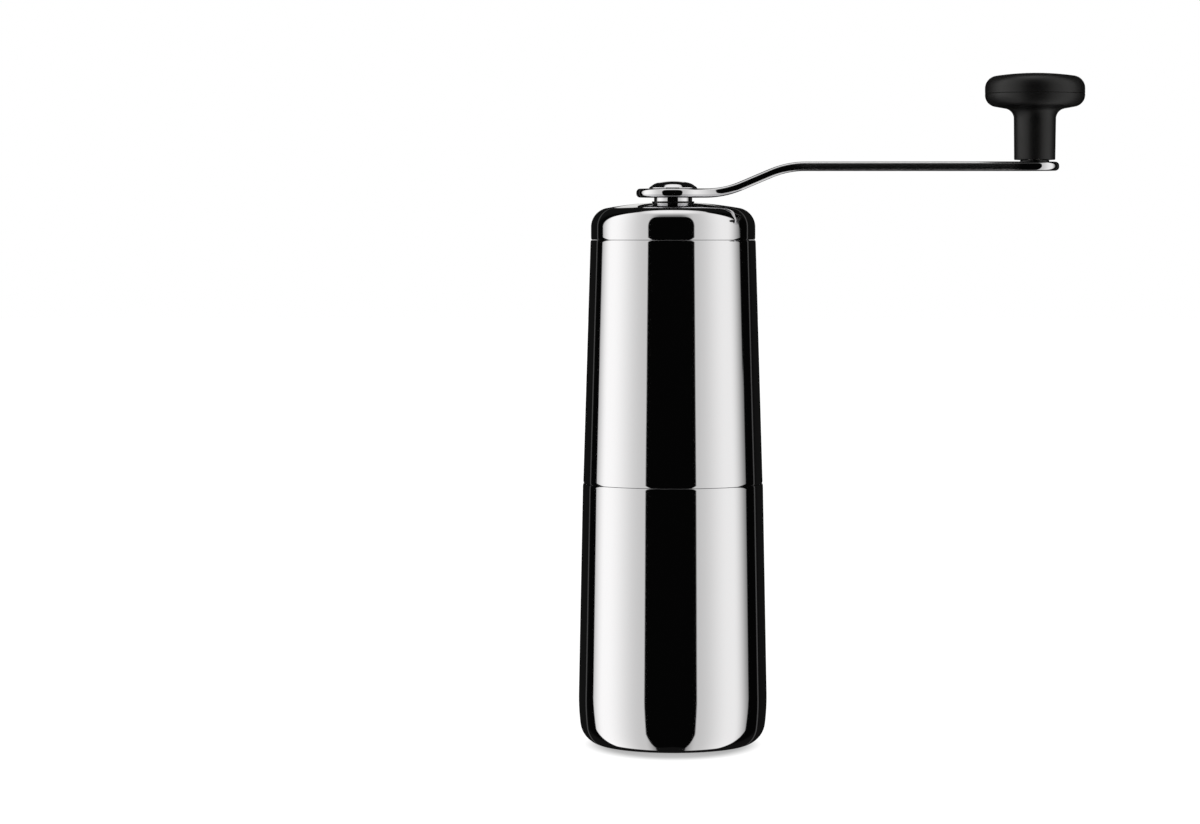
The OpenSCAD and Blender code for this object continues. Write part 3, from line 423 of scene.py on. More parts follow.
rays = add_node(sky, "ShaderNodeLightPath")
seen = add_node(sky, "ShaderNodeBackground", {"Color": (1, 1, 1, 1), "Strength": BACKDROP_WHITE})
matt = add_node(sky, "ShaderNodeBackground", {"Color": (1, 1, 1, 1), "Strength": TENT_LIGHT})
mirrored = add_node(sky, "ShaderNodeBackground", {"Color": linear("#FFFEFC")}, {"Strength": reflected})
mirror_or_matt = add_node(sky, "ShaderNodeMixShader", links={
    0: rays.outputs["Is Diffuse Ray"], 1: mirrored.outputs[0], 2: matt.outputs[0]})
all_rays = add_node(sky, "ShaderNodeMixShader", links={
    0: rays.outputs["Is Camera Ray"], 1: mirror_or_matt.outputs[0], 2: seen.outputs[0]})
add_node(sky, "ShaderNodeOutputWorld", links={"Surface": all_rays.outputs[0]})
bpy.context.scene.view_settings.view_transform = "Standard"
print("panel light", PANEL_LIGHT)

# %% [markdown]
# ## The floor
# The grinder stands on a sheet of white acrylic that glows, and the glow lifts the ground to white. A soft
# contact shadow is painted into the glow: the glow is turned down over an oval round the axis, as deep as
# the base and narrower from side to side.
# Reflections take the table from the sky shader, so the sheet itself is left out of them.

# %% Floor
FLOOR_HALF = 6.0
# Painted contact shadow: where the floor's glow starts to rise, where it is full, and how much narrower the
# oval is from side to side.
PAINTED_SHADOW_FROM, PAINTED_SHADOW_TO, PAINTED_SHADOW_NARROW = 30.5, 43.0, 1.45
GLOW_IN_PAINTED_SHADOW, GLOW_OPEN = 0.4, 0.93

floor_mesh = bpy.data.meshes.new("floor")
floor_mesh.from_pydata([(-FLOOR_HALF, -FLOOR_HALF, 0), (FLOOR_HALF, -FLOOR_HALF, 0),
                        (FLOOR_HALF, FLOOR_HALF, 0), (-FLOOR_HALF, FLOOR_HALF, 0)], [], [(0, 1, 2, 3)])
floor = mesh_object("floor", floor_mesh, smooth=False)
floor.location.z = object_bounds()[0][2] - 0.02 * MM
floor.visible_glossy = False
floor.visible_diffuse = False
# The floor's material: an even white glow with a painted contact shadow round the grinder's axis.
acrylic, acrylic_tree = new_material("white acrylic glow with painted shadow")
spot = add_node(acrylic_tree, "ShaderNodeTexCoord").outputs["Object"]
squeeze = add_node(acrylic_tree, "ShaderNodeMapping", {"Scale": (PAINTED_SHADOW_NARROW, 1.0, 1.0)}, {"Vector": spot})
reach = add_node(acrylic_tree, "ShaderNodeVectorMath", {"operation": "LENGTH"}, {0: squeeze.outputs[0]})
from_axis = reach.outputs["Value"]
# Painted shadow: the glow rises from its low value inside the oval round the axis to full white outside it.
glow_with_painted_shadow = ramp_up(acrylic_tree, from_axis, PAINTED_SHADOW_FROM * MM, PAINTED_SHADOW_TO * MM, GLOW_IN_PAINTED_SHADOW, GLOW_OPEN)
glow = add_node(acrylic_tree, "ShaderNodeEmission", {"Color": (1, 1, 1, 1)}, {"Strength": glow_with_painted_shadow})
matt_face = add_node(acrylic_tree, "ShaderNodeBsdfDiffuse", {"Color": linear("#6A6A6A")})
finish_material(acrylic_tree, add_node(acrylic_tree, "ShaderNodeAddShader",
                                       links={0: glow.outputs[0], 1: matt_face.outputs[0]}))
floor_mesh.materials.append(acrylic)
print("floor", 2 * FLOOR_HALF, "m wide")

# %% [markdown]
# ## Mirror-polished stainless steel
# The shells are deep-drawn stainless steel, polished on a buff until they mirror. Steel reflects about
# two thirds of the light, nearly neutral and a touch cool. Buffing leaves hair lines too fine to
# see one by one, which soften the mirror a little, and drawing leaves faint waves many millimetres long
# that make a straight reflection wander by a hair.

# %% Polished steel
WAVE_MM = 38.0
HAIR_MM, HAIR_STRETCH = 0.18, 8.0


def polished_steel(name, colour, roughness, wave_height, hair_height, satin=0.0, satin_from=0, satin_to=0):
    """Buffed steel: a mirror with long faint waves and hair lines, and a satin stretch along x if asked."""
    material, tree = new_material(name)
    place = add_node(tree, "ShaderNodeTexCoord").outputs["Object"]
    stretch = {"Scale": (1.0, 1.0, HAIR_STRETCH)}
    along = add_node(tree, "ShaderNodeMapping", stretch, {"Vector": place}).outputs[0]
    hairs = noise(tree, along, HAIR_STRETCH * HAIR_MM, 2.0)
    waves = relief(tree, noise(tree, place, WAVE_MM, 1.0), wave_height)
    haze = ramp_up(tree, hairs, 0.3, 0.7, roughness * 0.7, roughness * 1.3)
    if satin:
        x = add_node(tree, "ShaderNodeSeparateXYZ", links={"Vector": place}).outputs["X"]
        start = ramp_up(tree, x, (satin_from - 6) * MM, (satin_from + 6) * MM, 0.0, satin)
        stop = ramp_up(tree, x, (satin_to - 3) * MM, (satin_to + 3) * MM, 1.0, 0.0)
        haze = math_node(tree, "ADD", haze, math_node(tree, "MULTIPLY", start, stop))
    shader = add_node(tree, "ShaderNodeBsdfPrincipled", {"Base Color": linear(colour), "Metallic": 1.0},
                      {"Roughness": haze, "Normal": relief(tree, hairs, hair_height, waves)})
    finish_material(tree, shader)
    return material


mirror_steel = polished_steel("mirror-polished stainless steel", "#D6D6D8", 0.045, 0.02, 0.00002)
arm_steel = polished_steel("stainless bar, polished, satin along its run", "#D6D6D8", 0.045, 0.02, 0.00002,
                           satin=0.2, satin_from=38, satin_to=110)
print("steel waves", WAVE_MM, "mm long")

# %% [markdown]
# ## Moulded plastics
# The knob is nylon from a finely spark-eroded mould: dark grey where light grazes it, soft wide
# highlights, no mirror. The inner parts are polypropylene, a little greyer and more even. All of them are
# dielectrics with an IOR of 1.5, or 1.42 for the nylon and the silicone, and differ in colour, roughness
# and the size of their grain.

# %% Plastics
CLOUD_MM = 9.0


def moulded(name, colour, roughness, grain_mm, grain_height, ior=1.5):
    """Moulded plastic with the fine grain of its mould and slow changes in its gloss."""
    material, tree = new_material(name)
    place = add_node(tree, "ShaderNodeTexCoord").outputs["Object"]
    grain = relief(tree, noise(tree, place, grain_mm, 2.0), grain_height)
    gloss = ramp_up(tree, noise(tree, place, CLOUD_MM, 3.0), 0.3, 0.7, roughness - 0.04, roughness + 0.04)
    shader = add_node(tree, "ShaderNodeBsdfPrincipled", {"Base Color": linear(colour), "IOR": ior},
                      {"Roughness": gloss, "Normal": grain})
    finish_material(tree, shader)
    return material


nylon_black = moulded("satin moulded nylon, black", "#090808", 0.42, 0.5, 0.012, ior=1.42)
pp_black = moulded("moulded polypropylene, black", "#262628", 0.38, 0.6, 0.01)
pp_grey = moulded("moulded polypropylene, dark grey", "#2E2E30", 0.42, 0.6, 0.01)
acetal_black = moulded("machined acetal, black", "#121212", 0.35, 0.4, 0.004)
acetal_natural = moulded("machined acetal, natural", "#E6E3DA", 0.32, 0.4, 0.004)
silicone = moulded("silicone rubber, black", "#1C1C1C", 0.55, 0.3, 0.004, ior=1.42)
print("plastics:", [m.name for m in (nylon_black, pp_black, pp_grey, acetal_black)])

# %% [markdown]
# ## Dressing a piece
# A visible piece stands for a construction node: it gets a finish and the body it moves with, and the node
# it stands for is hidden. Its box is then set against the node's box, so that a slip in an outline shows at
# once.

# %% Dress and check
def size_gap(piece, nodes):
    """The largest difference, in millimetres, between a piece's box and that of the nodes it stands for."""
    bpy.context.view_layer.update()
    corners = [piece.matrix_world @ Vector(c) for c in piece.bound_box]
    boxes = [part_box(node) for node in nodes]
    gap = 0.0
    for axis in range(3):
        low = min(box[0][axis] for box in boxes)
        high = max(box[1][axis] for box in boxes)
        gap = max(gap, abs(min(c[axis] for c in corners) - low), abs(max(c[axis] for c in corners) - high))
    return gap / MM


def dress(piece, material, slot, body, *nodes):
    """Gives a piece its finish and the body it moves with, and hides the nodes it stands for.

    A piece that stretches between two bodies has no body of its own: its body is None."""
    piece.data.materials.clear()
    piece.data.materials.append(material)
    if nodes:
        print(f"{piece.name}: box differs by {size_gap(piece, nodes):.3f} mm")
        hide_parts(*nodes)
    if body:
        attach(piece, body)
    return piece


def cut(piece, cutter):
    """Cuts one mesh out of another for good, and removes the cutter."""
    modifier = piece.modifiers.new("cut", "BOOLEAN")
    modifier.operation = "DIFFERENCE"
    modifier.solver = "EXACT"
    modifier.object = cutter
    bpy.context.view_layer.update()
    shape = piece.evaluated_get(bpy.context.evaluated_depsgraph_get())
    mesh = bpy.data.meshes.new_from_object(shape)
    piece.modifiers.clear()
    piece.data = mesh
    mesh.shade_smooth()
    mesh.set_sharp_from_angle(angle=SHARP_ANGLE)
    bpy.data.objects.remove(cutter)


def prism(name, sides, radius, z0, z1, axis_x=0.0):
    """A straight prism with flats, such as a hexagonal socket's cutter; sizes in millimetres."""
    turns = [2 * math.pi * k / sides for k in range(sides)]
    points = [(axis_x + radius * math.cos(a), radius * math.sin(a), z) for z in (z0, z1) for a in turns]
    faces = [tuple(range(sides)), tuple(range(2 * sides - 1, sides - 1, -1))]
    faces += [(k, (k + 1) % sides, sides + (k + 1) % sides, sides + k) for k in range(sides)]
    return mesh_from(name, points, faces)


def low_high(node):
    """The lowest and highest corner of a construction node, in millimetres."""
    low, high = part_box(node)
    return low / MM, high / MM


print("dressing helpers ready")

# %% [markdown]
# ## The steel shells
# Cup and body are deep-drawn tubes with a slight draft, so the cup widens downwards and the body narrows
# upwards. The cup's wall runs into its base in two arcs: a long sweep of a few degrees, then the corner.
# At the seams the wall rolls in by thirty degrees and then turns a tight corner, so two shells meet in a
# shallow groove with a hair's gap at its bottom, and the dark stripe gets round corners there.

# %% Shell sizes
CUP_TOP = low_high("cup_shell")[1].z
BODY_BOTTOM, BODY_TOP = (corner.z for corner in low_high("body_shell"))
LID_BOTTOM = low_high("lid_shell")[0].z
SEAM_RADIUS = 28.9
SEAM_STEP = 0.15
CUP_DRAFT, BODY_DRAFT = 1.1, 1.7
WALL = 1.0
MOUTH_WALL = 1.25
ROLL, ROLL_ANGLE, TIGHT = 1.5, 30.0, 0.06
SEAM_CLOSE = 0.045
SWEEP_RADIUS, SWEEP_ANGLE = 70.0, 7.0
CORNER_RADIUS = 7.7
SPIGOT_DEPTH, SEAT_DROP = 13.5, 1.4
FIT_GAP = 0.08
RUN_GAP = 0.05
TURN_GAP = 0.1
PRESS_GAP = 0.02
HOLE_GAP = 0.03

body_foot_radius = SEAM_RADIUS - SEAM_STEP
body_top_radius = body_foot_radius - (BODY_TOP - BODY_BOTTOM) * math.tan(math.radians(BODY_DRAFT))
lid_radius = body_top_radius - SEAM_STEP
print("radii:", SEAM_RADIUS, round(body_top_radius, 2), round(lid_radius, 2))


# %% Rolled edges
def rolled_edge(radius, z, draft, upper):
    """A wall's edge, from the wall to its flat: a wide roll of some degrees and then a tight corner."""
    side = 1 if upper else -1
    lean = math.radians(ROLL_ANGLE)
    tight = (radius - ROLL + (ROLL - TIGHT) * math.cos(lean), z - side * TIGHT)
    wide = (radius - ROLL, tight[1] - side * (ROLL - TIGHT) * math.sin(lean))
    return (arc(wide, ROLL, draft, side * ROLL_ANGLE, 12)
            + arc(tight, TIGHT, side * ROLL_ANGLE, side * 90, 5)[1:])


# %% Cup
def cup_outside(inset):
    """The cup's outline from rim to axis, a given distance inside its surface."""
    draft, sweep = math.radians(CUP_DRAFT), math.radians(SWEEP_ANGLE)
    side_z = (CORNER_RADIUS + (SWEEP_RADIUS - CORNER_RADIUS) * math.sin(sweep)
              + SWEEP_RADIUS * math.sin(draft))
    side_r = SEAM_RADIUS + (CUP_TOP - side_z) * math.tan(draft)
    centre = (side_r - SWEEP_RADIUS * math.cos(draft), side_z - SWEEP_RADIUS * math.sin(draft))
    reach = SWEEP_RADIUS - CORNER_RADIUS
    corner = (centre[0] + reach * math.cos(sweep), centre[1] - reach * math.sin(sweep))
    return (arc(centre, SWEEP_RADIUS - inset, CUP_DRAFT, -SWEEP_ANGLE, 20)
            + arc(corner, CORNER_RADIUS - inset, -SWEEP_ANGLE, -90, 48)[1:] + [(0, inset)])


def cup_outline():
    """The whole wall: rolled rim, outside, inside, and the bore that takes the body's spigot."""
    seat_z = CUP_TOP - SPIGOT_DEPTH - SEAT_DROP
    draft = math.radians(CUP_DRAFT)
    inner = SEAM_RADIUS - WALL / math.cos(draft) + (CUP_TOP - seat_z) * math.tan(draft)
    bore = SEAM_RADIUS - MOUTH_WALL
    rim = rolled_edge(SEAM_RADIUS, CUP_TOP + SEAM_CLOSE, CUP_DRAFT, True)
    return (rim[::-1] + cup_outside(0) + cup_outside(WALL)[::-1]
            + [(inner, seat_z), (bore, seat_z + inner - bore)]
            + arc((bore + 0.3, CUP_TOP + SEAM_CLOSE - 0.3), 0.3, 180, 90, 6))


cup = lathe("cup", cup_outline(), around=256)
dress(cup, mirror_steel, "polished_steel", "cup", "cup_shell")


# %% Body
def body_outline():
    """A straight tapered wall with both edges rolled round."""
    foot = rolled_edge(body_foot_radius, BODY_BOTTOM - SEAM_CLOSE, BODY_DRAFT, False)
    top = rolled_edge(body_top_radius, BODY_TOP + SEAM_CLOSE, BODY_DRAFT, True)
    return ([(body_foot_radius - WALL, BODY_BOTTOM - SEAM_CLOSE)] + foot[::-1] + top
            + [(body_top_radius - WALL, BODY_TOP + SEAM_CLOSE)])


body = lathe("body_sleeve", body_outline(), around=256)
dress(body, mirror_steel, "polished_steel", "body", "body_shell")

# %% [markdown]
# ## The lid
# The lid is pressed from slightly thinner sheet: a short side, a round shoulder and a very shallow dome.
# The dome mirrors the ceiling, the shoulder squeezes the whole room into a narrow band.

# %% Lid
LID_HEIGHT = 12.0
LID_SHOULDER = 6.2
LID_DOME = 120.0
LID_WALL = 0.9
LID_HOLE = 6.8


def crown(radius, top, shoulder, dome, inset, hole=0.0, count=40):
    """A shoulder arc that runs smoothly into a shallow dome."""
    dome_z = top - dome
    away = math.sqrt((dome - shoulder) ** 2 - (radius - shoulder) ** 2)
    turn_at = math.degrees(math.atan2(away, radius - shoulder))
    last = 90 - math.degrees(math.asin(hole / (dome - inset)))
    return (arc((radius - shoulder, dome_z + away), shoulder - inset, 0, turn_at, count)
            + arc((0, dome_z), dome - inset, turn_at, last, 16)[1:])


def lid_outline():
    """Rolled edge, outside, hole edge and inside of the lid."""
    top = LID_BOTTOM + LID_HEIGHT
    return ([(lid_radius - LID_WALL, LID_BOTTOM - SEAM_CLOSE)]
            + rolled_edge(lid_radius, LID_BOTTOM - SEAM_CLOSE, 0.0, False)[::-1]
            + crown(lid_radius, top, LID_SHOULDER, LID_DOME, 0, LID_HOLE)
            + crown(lid_radius, top, LID_SHOULDER, LID_DOME, LID_WALL, LID_HOLE)[::-1])


lid = lathe("lid", lid_outline(), around=256)
dress(lid, mirror_steel, "polished_steel", "lid", "lid_shell")

# %% [markdown]
# ## The crank arm
# The arm is a steel bar cut to a plan outline, bent twice and then polished, which rounds its edges. It
# is built the same way: rings of the plan outline make a flat bar with a round bead along its edge, and
# then every point is bent along the bar's middle line, as a press brake would.

# %% Plan of the arm
ARM_THICK = 2.85
ARM_RISE = 8.55
BEND_RADIUS, BEND_SLOPE, BEND_START = 29.0, 23.0, 10.4
HUB_RADIUS, WAIST, BLEND_RADIUS, END_RADIUS = 11.8, 5.6, 20.0, 7.8
CRANK_REACH = 115.4
ARM_EDGE, EDGE_DEEP = 1.25, 1.2
ARM_BOTTOM = low_high("crank_arm")[0].z
ARM_TOP = ARM_BOTTOM + ARM_THICK
RUN_TOP = ARM_TOP + ARM_RISE


def arm_edge():
    """Points and outward normals along one edge of the plan, from the hub's tip to the knob's."""
    blend_y = WAIST + BLEND_RADIUS
    blend_x = math.sqrt((HUB_RADIUS + BLEND_RADIUS) ** 2 - blend_y ** 2)
    meet = math.degrees(math.atan2(blend_y, blend_x))
    drop = math.degrees(math.atan2(END_RADIUS - WAIST, CRANK_REACH - blend_x))
    edge = []
    for x, y in arc((0, 0), HUB_RADIUS, 180, meet, 60):
        edge.append((x, y, x / HUB_RADIUS, y / HUB_RADIUS))
    for x, y in arc((blend_x, blend_y), BLEND_RADIUS, 180 + meet, 270 + drop, 24)[1:]:
        edge.append((x, y, (blend_x - x) / BLEND_RADIUS, (blend_y - y) / BLEND_RADIUS))
    end = arc((CRANK_REACH, 0), END_RADIUS, 90 + drop, 0, 48)
    (x0, y0), (x1, y1) = edge[-1][:2], end[0]
    steps = 90
    for i in range(1, steps):
        t = i / steps
        edge.append((x0 + (x1 - x0) * t, y0 + (y1 - y0) * t, edge[-1][2], edge[-1][3]))
    for x, y in end:
        edge.append((x, y, (x - CRANK_REACH) / END_RADIUS, y / END_RADIUS))
    return edge


def bent(x, y, up):
    """Where a point of the flat bar lands once the bar is bent; up is its height over the middle plane."""
    slope = math.radians(BEND_SLOPE)
    run, drop = BEND_RADIUS * math.sin(slope), BEND_RADIUS * (1 - math.cos(slope))
    straight = (ARM_RISE - 2 * drop) / math.tan(slope)
    end = BEND_START + 2 * run + straight
    if x <= BEND_START:
        rise, angle = 0.0, 0.0
    elif x < BEND_START + run:
        angle = math.asin((x - BEND_START) / BEND_RADIUS)
        rise = BEND_RADIUS * (1 - math.cos(angle))
    elif x < end - run:
        angle = slope
        rise = drop + (x - BEND_START - run) * math.tan(slope)
    elif x < end:
        angle = math.asin((end - x) / BEND_RADIUS)
        rise = ARM_RISE - BEND_RADIUS * (1 - math.cos(angle))
    else:
        rise, angle = ARM_RISE, 0.0
    middle = ARM_BOTTOM + ARM_THICK / 2
    return x - up * math.sin(angle), y, middle + rise + up * math.cos(angle)


print("plan points on one edge:", len(arm_edge()))


# %% Arm mesh
def arm_mesh():
    """Points and faces of the bent bar: a bead of rings round its edge, and a lattice on each face."""
    edge = arm_edge()
    loop = edge + [(x, -y, nx, -ny) for x, y, nx, ny in edge[-2:0:-1]]
    bead = [(EDGE_DEEP * (1 - math.sin(a)), ARM_THICK / 2 - ARM_EDGE + ARM_EDGE * math.cos(a))
            for a in (math.radians(10 * i) for i in range(10))]
    bead += [(inset, -up) for inset, up in reversed(bead)]
    points, faces = [], []
    for inset, up in bead:
        points += [bent(x - nx * inset, y - ny * inset, up) for x, y, nx, ny in loop]
    count = len(loop)
    for i in range(len(bead) - 1):
        for k in range(count):
            n = (k + 1) % count
            faces.append((i * count + k, i * count + n, (i + 1) * count + n, (i + 1) * count + k))
    across = 10
    for up in (ARM_THICK / 2, -ARM_THICK / 2):
        first = len(points)
        for x, y, nx, ny in edge:
            px, py = x - nx * EDGE_DEEP, y - ny * EDGE_DEEP
            points += [bent(px, py * (1 - 2 * j / across), up) for j in range(across + 1)]
        for i in range(len(edge) - 1):
            for j in range(across):
                a = first + i * (across + 1) + j
                faces.append((a, a + 1, a + across + 2, a + across + 1))
    return points, faces


arm = mesh_from("arm", *arm_mesh())
PIN_FOOT = 2.0
SPIGOT_RADIUS = 4.0
cut(arm, prism("pin hole", 64, PIN_FOOT + HOLE_GAP, RUN_TOP - ARM_THICK - 1, RUN_TOP + 1, CRANK_REACH))
cut(arm, prism("hub hole", 64, SPIGOT_RADIUS + HOLE_GAP, ARM_BOTTOM - 1, ARM_TOP + 1))
dress(arm, arm_steel, "polished_steel", "crank", "crank_arm")

# %% [markdown]
# ## The hub
# Under the arm a short turned neck passes through a black acetal bush in the lid. Over the arm a small
# domed cap covers the neck's upper end. Turned edges are broken with a tiny radius.

# %% Neck, bush and cap
NECK_RADIUS = 6.1
HUB_BUSH_WALL = 0.6
HUB_FLANGE, HUB_FLANGE_THICK = 6.79, 0.22
HEX_WIDTH = 6.0
SOCKET_GAP, SOCKET_BELOW_LID = 0.06, 1.4
CLIP_THICK, CLIP_DEPTH = 0.9, 0.7
HUB_BOTTOM = low_high("crank_hub")[0].z
HUB_BUSH_BOTTOM = low_high("hub_bush")[0].z
LID_TOP = LID_BOTTOM + LID_HEIGHT
HUB_CLIP_BOTTOM = low_high("hub_clip")[0].z
BUTTON_RADIUS, BUTTON_HEIGHT = 7.7, 2.75
BUTTON_FLAT, BUTTON_CORNER, BUTTON_SIDE, BUTTON_RISE = 6.0, 1.6, 0.3, 0.86
ROLL_ON_BEVEL, ROLL_ON_DOME, DOME_FROM = 0.4, 0.16, 0.82


def broken(radius, z, size, upper, outer=True):
    """The quarter round that breaks an edge at a height; upper says it is a top edge."""
    r = radius - size if outer else radius + size
    h = z - size if upper else z + size
    start = {(True, True): 0, (True, False): -90, (False, True): 90, (False, False): 180}[(outer, upper)]
    return arc((r, h), size, start, start + 90, 5)


groove = NECK_RADIUS - CLIP_DEPTH
spigot_top = ARM_TOP + BUTTON_HEIGHT * 0.4
neck_outline = ([(0, HUB_BOTTOM)] + broken(NECK_RADIUS, HUB_BOTTOM, 0.3, False)
                + [(NECK_RADIUS, HUB_CLIP_BOTTOM - RUN_GAP), (groove, HUB_CLIP_BOTTOM - RUN_GAP),
                   (groove, HUB_CLIP_BOTTOM + CLIP_THICK + RUN_GAP),
                   (NECK_RADIUS, HUB_CLIP_BOTTOM + CLIP_THICK + RUN_GAP)]
                + broken(NECK_RADIUS, ARM_BOTTOM, 0.12, True)
                + [(SPIGOT_RADIUS, ARM_BOTTOM), (SPIGOT_RADIUS, spigot_top), (0, spigot_top)])
neck = lathe("hub_neck", neck_outline)
socket = (HEX_WIDTH / 2 + SOCKET_GAP) / math.cos(math.radians(30))
SOCKET_TOP = LID_TOP - SOCKET_BELOW_LID
cut(neck, prism("hub socket", 6, socket, HUB_BOTTOM - 1, SOCKET_TOP))
dress(neck, mirror_steel, "polished_steel", "crank", "crank_hub")

hub_bush_radius = NECK_RADIUS + RUN_GAP + HUB_BUSH_WALL
hub_bush = lathe("hub_bush_ring", [(NECK_RADIUS + RUN_GAP, HUB_BUSH_BOTTOM)]
                 + broken(hub_bush_radius, HUB_BUSH_BOTTOM, 0.15, False) + [(hub_bush_radius, LID_TOP)]
                 + broken(HUB_FLANGE, LID_TOP + HUB_FLANGE_THICK, 0.1, True)
                 + [(NECK_RADIUS + RUN_GAP, LID_TOP + HUB_FLANGE_THICK)])
dress(hub_bush, acetal_black, "acetal_black", "lid", "hub_bush")


def button_outline():
    """The cap: a thin side, a bevel, and a shallow dome, with the corner rolled over in polishing."""
    corner = (BUTTON_FLAT, ARM_TOP + BUTTON_CORNER)
    side = (BUTTON_RADIUS, ARM_TOP + BUTTON_SIDE)
    dome = (BUTTON_FLAT ** 2 + BUTTON_RISE ** 2) / 2 / BUTTON_RISE
    centre = corner[1] + BUTTON_RISE - dome
    half = math.degrees(math.asin(BUTTON_FLAT / dome))
    roll = []
    for i in range(9):
        t = i / 8
        back = ROLL_ON_BEVEL * (1 - t)
        before = (corner[0] + back * (side[0] - corner[0]), corner[1] + back * (side[1] - corner[1]))
        a = math.radians(90 - half * (1 - ROLL_ON_DOME * t))
        after = (dome * math.cos(a), centre + dome * math.sin(a))
        roll.append((before[0] + (after[0] - before[0]) * t, before[1] + (after[1] - before[1]) * t))
    bore = spigot_top + 0.1
    return ([(SPIGOT_RADIUS + PRESS_GAP, ARM_TOP), (BUTTON_RADIUS - 0.08, ARM_TOP),
             (BUTTON_RADIUS, ARM_TOP + 0.08), side]
            + roll + arc((0, centre), dome, 90 - half * DOME_FROM, 90, 24)[1:]
            + [(0, bore), (SPIGOT_RADIUS + PRESS_GAP, bore)])


button = lathe("hub_cap", button_outline())
dress(button, mirror_steel, "polished_steel", "crank", "cap_button")

# %% [markdown]
# ## The knob
# The knob is two mouldings that meet in a fine parting line: a stem that flares into the lower half of a
# flat round head, and a cap. It turns on a brass sleeve round a shoulder screw, over a thin black washer.

# %% Knob
KNOB_RADIUS, STEM_RADIUS, STEM_HEIGHT = 15.9, 6.55, 13.1
FLARE_RADIUS, FLARE_RISE, HEAD_EDGE, HEAD_SIDE = 3.3, 3.8, 3.8, 0.35
CAP_HEIGHT, CAP_SHOULDER, CAP_DOME, CAP_WALL, CAP_PLUG = 6.6, 4.0, 87.0, 3.4, 2.6
STEM_TAPER, UNDER_ANGLE = 0.15, 11.0
PARTING = 0.14
GRIP_WALL, PIN_RECESS = 2.4, 5.4
PIN_RADIUS, SLEEVE_WALL = 2.5, 1.4
PIN_HEAD_HEIGHT = 2.2
GRIP_BOTTOM = low_high("knob_grip")[0].z
WASHER_RADIUS = 4.65

flare_x = STEM_RADIUS + STEM_TAPER + FLARE_RADIUS
flare_z = GRIP_BOTTOM + STEM_HEIGHT
head_z = flare_z + FLARE_RISE
parting_z = head_z + HEAD_EDGE + HEAD_SIDE
knob_top = parting_z + CAP_HEIGHT
sleeve_radius = PIN_RADIUS + RUN_GAP + SLEEVE_WALL
sleeve_top = parting_z - PIN_RECESS
pin_head = sleeve_radius + 0.6
recess = KNOB_RADIUS - GRIP_WALL
recess_z = parting_z - CAP_PLUG

grip_outline = (broken(sleeve_radius + PRESS_GAP, GRIP_BOTTOM, 0.2, False, outer=False)
                + broken(STEM_RADIUS, GRIP_BOTTOM, 0.25, False)
                + arc((flare_x, flare_z), FLARE_RADIUS, 180, 90 + UNDER_ANGLE, 24)
                + arc((KNOB_RADIUS - HEAD_EDGE, head_z + HEAD_EDGE), HEAD_EDGE, UNDER_ANGLE - 90, 0, 24)
                + broken(KNOB_RADIUS, parting_z, PARTING, True)
                + [(recess, parting_z), (recess, recess_z), (pin_head + 0.4, recess_z),
                   (pin_head + 0.4, sleeve_top), (sleeve_radius + PRESS_GAP, sleeve_top)])
grip = lathe("knob_lower_half", grip_outline, CRANK_REACH)
dress(grip, nylon_black, "knob_moulding", "knob", "knob_grip")

cap_bottom = parting_z + 0.05
plug_out = recess - FIT_GAP
plug_in = plug_out - 1.5
hollow_z = knob_top - CAP_WALL
cap_outline = (broken(KNOB_RADIUS, cap_bottom, PARTING, False)
               + crown(KNOB_RADIUS, knob_top, CAP_SHOULDER, CAP_DOME, 0, count=28)
               + [(0, hollow_z), (plug_in - 1, hollow_z), (plug_in, hollow_z - 1)]
               + [(plug_in, recess_z + 0.3), (plug_out, recess_z + 0.3), (plug_out, cap_bottom)])
knob_cap = lathe("knob_upper_half", cap_outline, CRANK_REACH)
dress(knob_cap, nylon_black, "knob_moulding", "knob", "knob_cap")

washer_outline = ([(PIN_RADIUS + RUN_GAP, RUN_TOP)] + broken(WASHER_RADIUS, RUN_TOP, 0.12, False)
                  + broken(WASHER_RADIUS, GRIP_BOTTOM - TURN_GAP, 0.12, True)
                  + [(PIN_RADIUS + RUN_GAP, GRIP_BOTTOM - TURN_GAP)])
washer = lathe("knob_foot_washer", washer_outline, CRANK_REACH)
dress(washer, acetal_black, "acetal_black", "crank", "knob_washer")

# %% [markdown]
# ## Turned steel and brass
# The knob's screw, the drive shaft and the clips are turned or ground, not buffed. A turning tool leaves
# rings about a tenth of a millimetre apart, which spread the highlight along the part.

# %% Turned metals
TOOL_MM = 0.12


def turned(name, colour, roughness, ring_height):
    """A turned metal: fine rings along its axis and a soft sheen."""
    material, tree = new_material(name)
    place = add_node(tree, "ShaderNodeTexCoord").outputs["Object"]
    rings = add_node(tree, "ShaderNodeTexWave",
                     {"wave_type": "BANDS", "bands_direction": "Z", "Scale": 0.31 / (TOOL_MM * MM),
                      "Distortion": 1.5, "Detail": 1.0}, {"Vector": place})
    gloss = ramp_up(tree, noise(tree, place, 3.0, 2.0), 0.3, 0.7, roughness - 0.05, roughness + 0.05)
    grooves = relief(tree, rings.outputs["Fac"], ring_height)
    shader = add_node(tree, "ShaderNodeBsdfPrincipled", {"Base Color": linear(colour), "Metallic": 1.0},
                      {"Roughness": gloss, "Normal": grooves})
    finish_material(tree, shader)
    return material


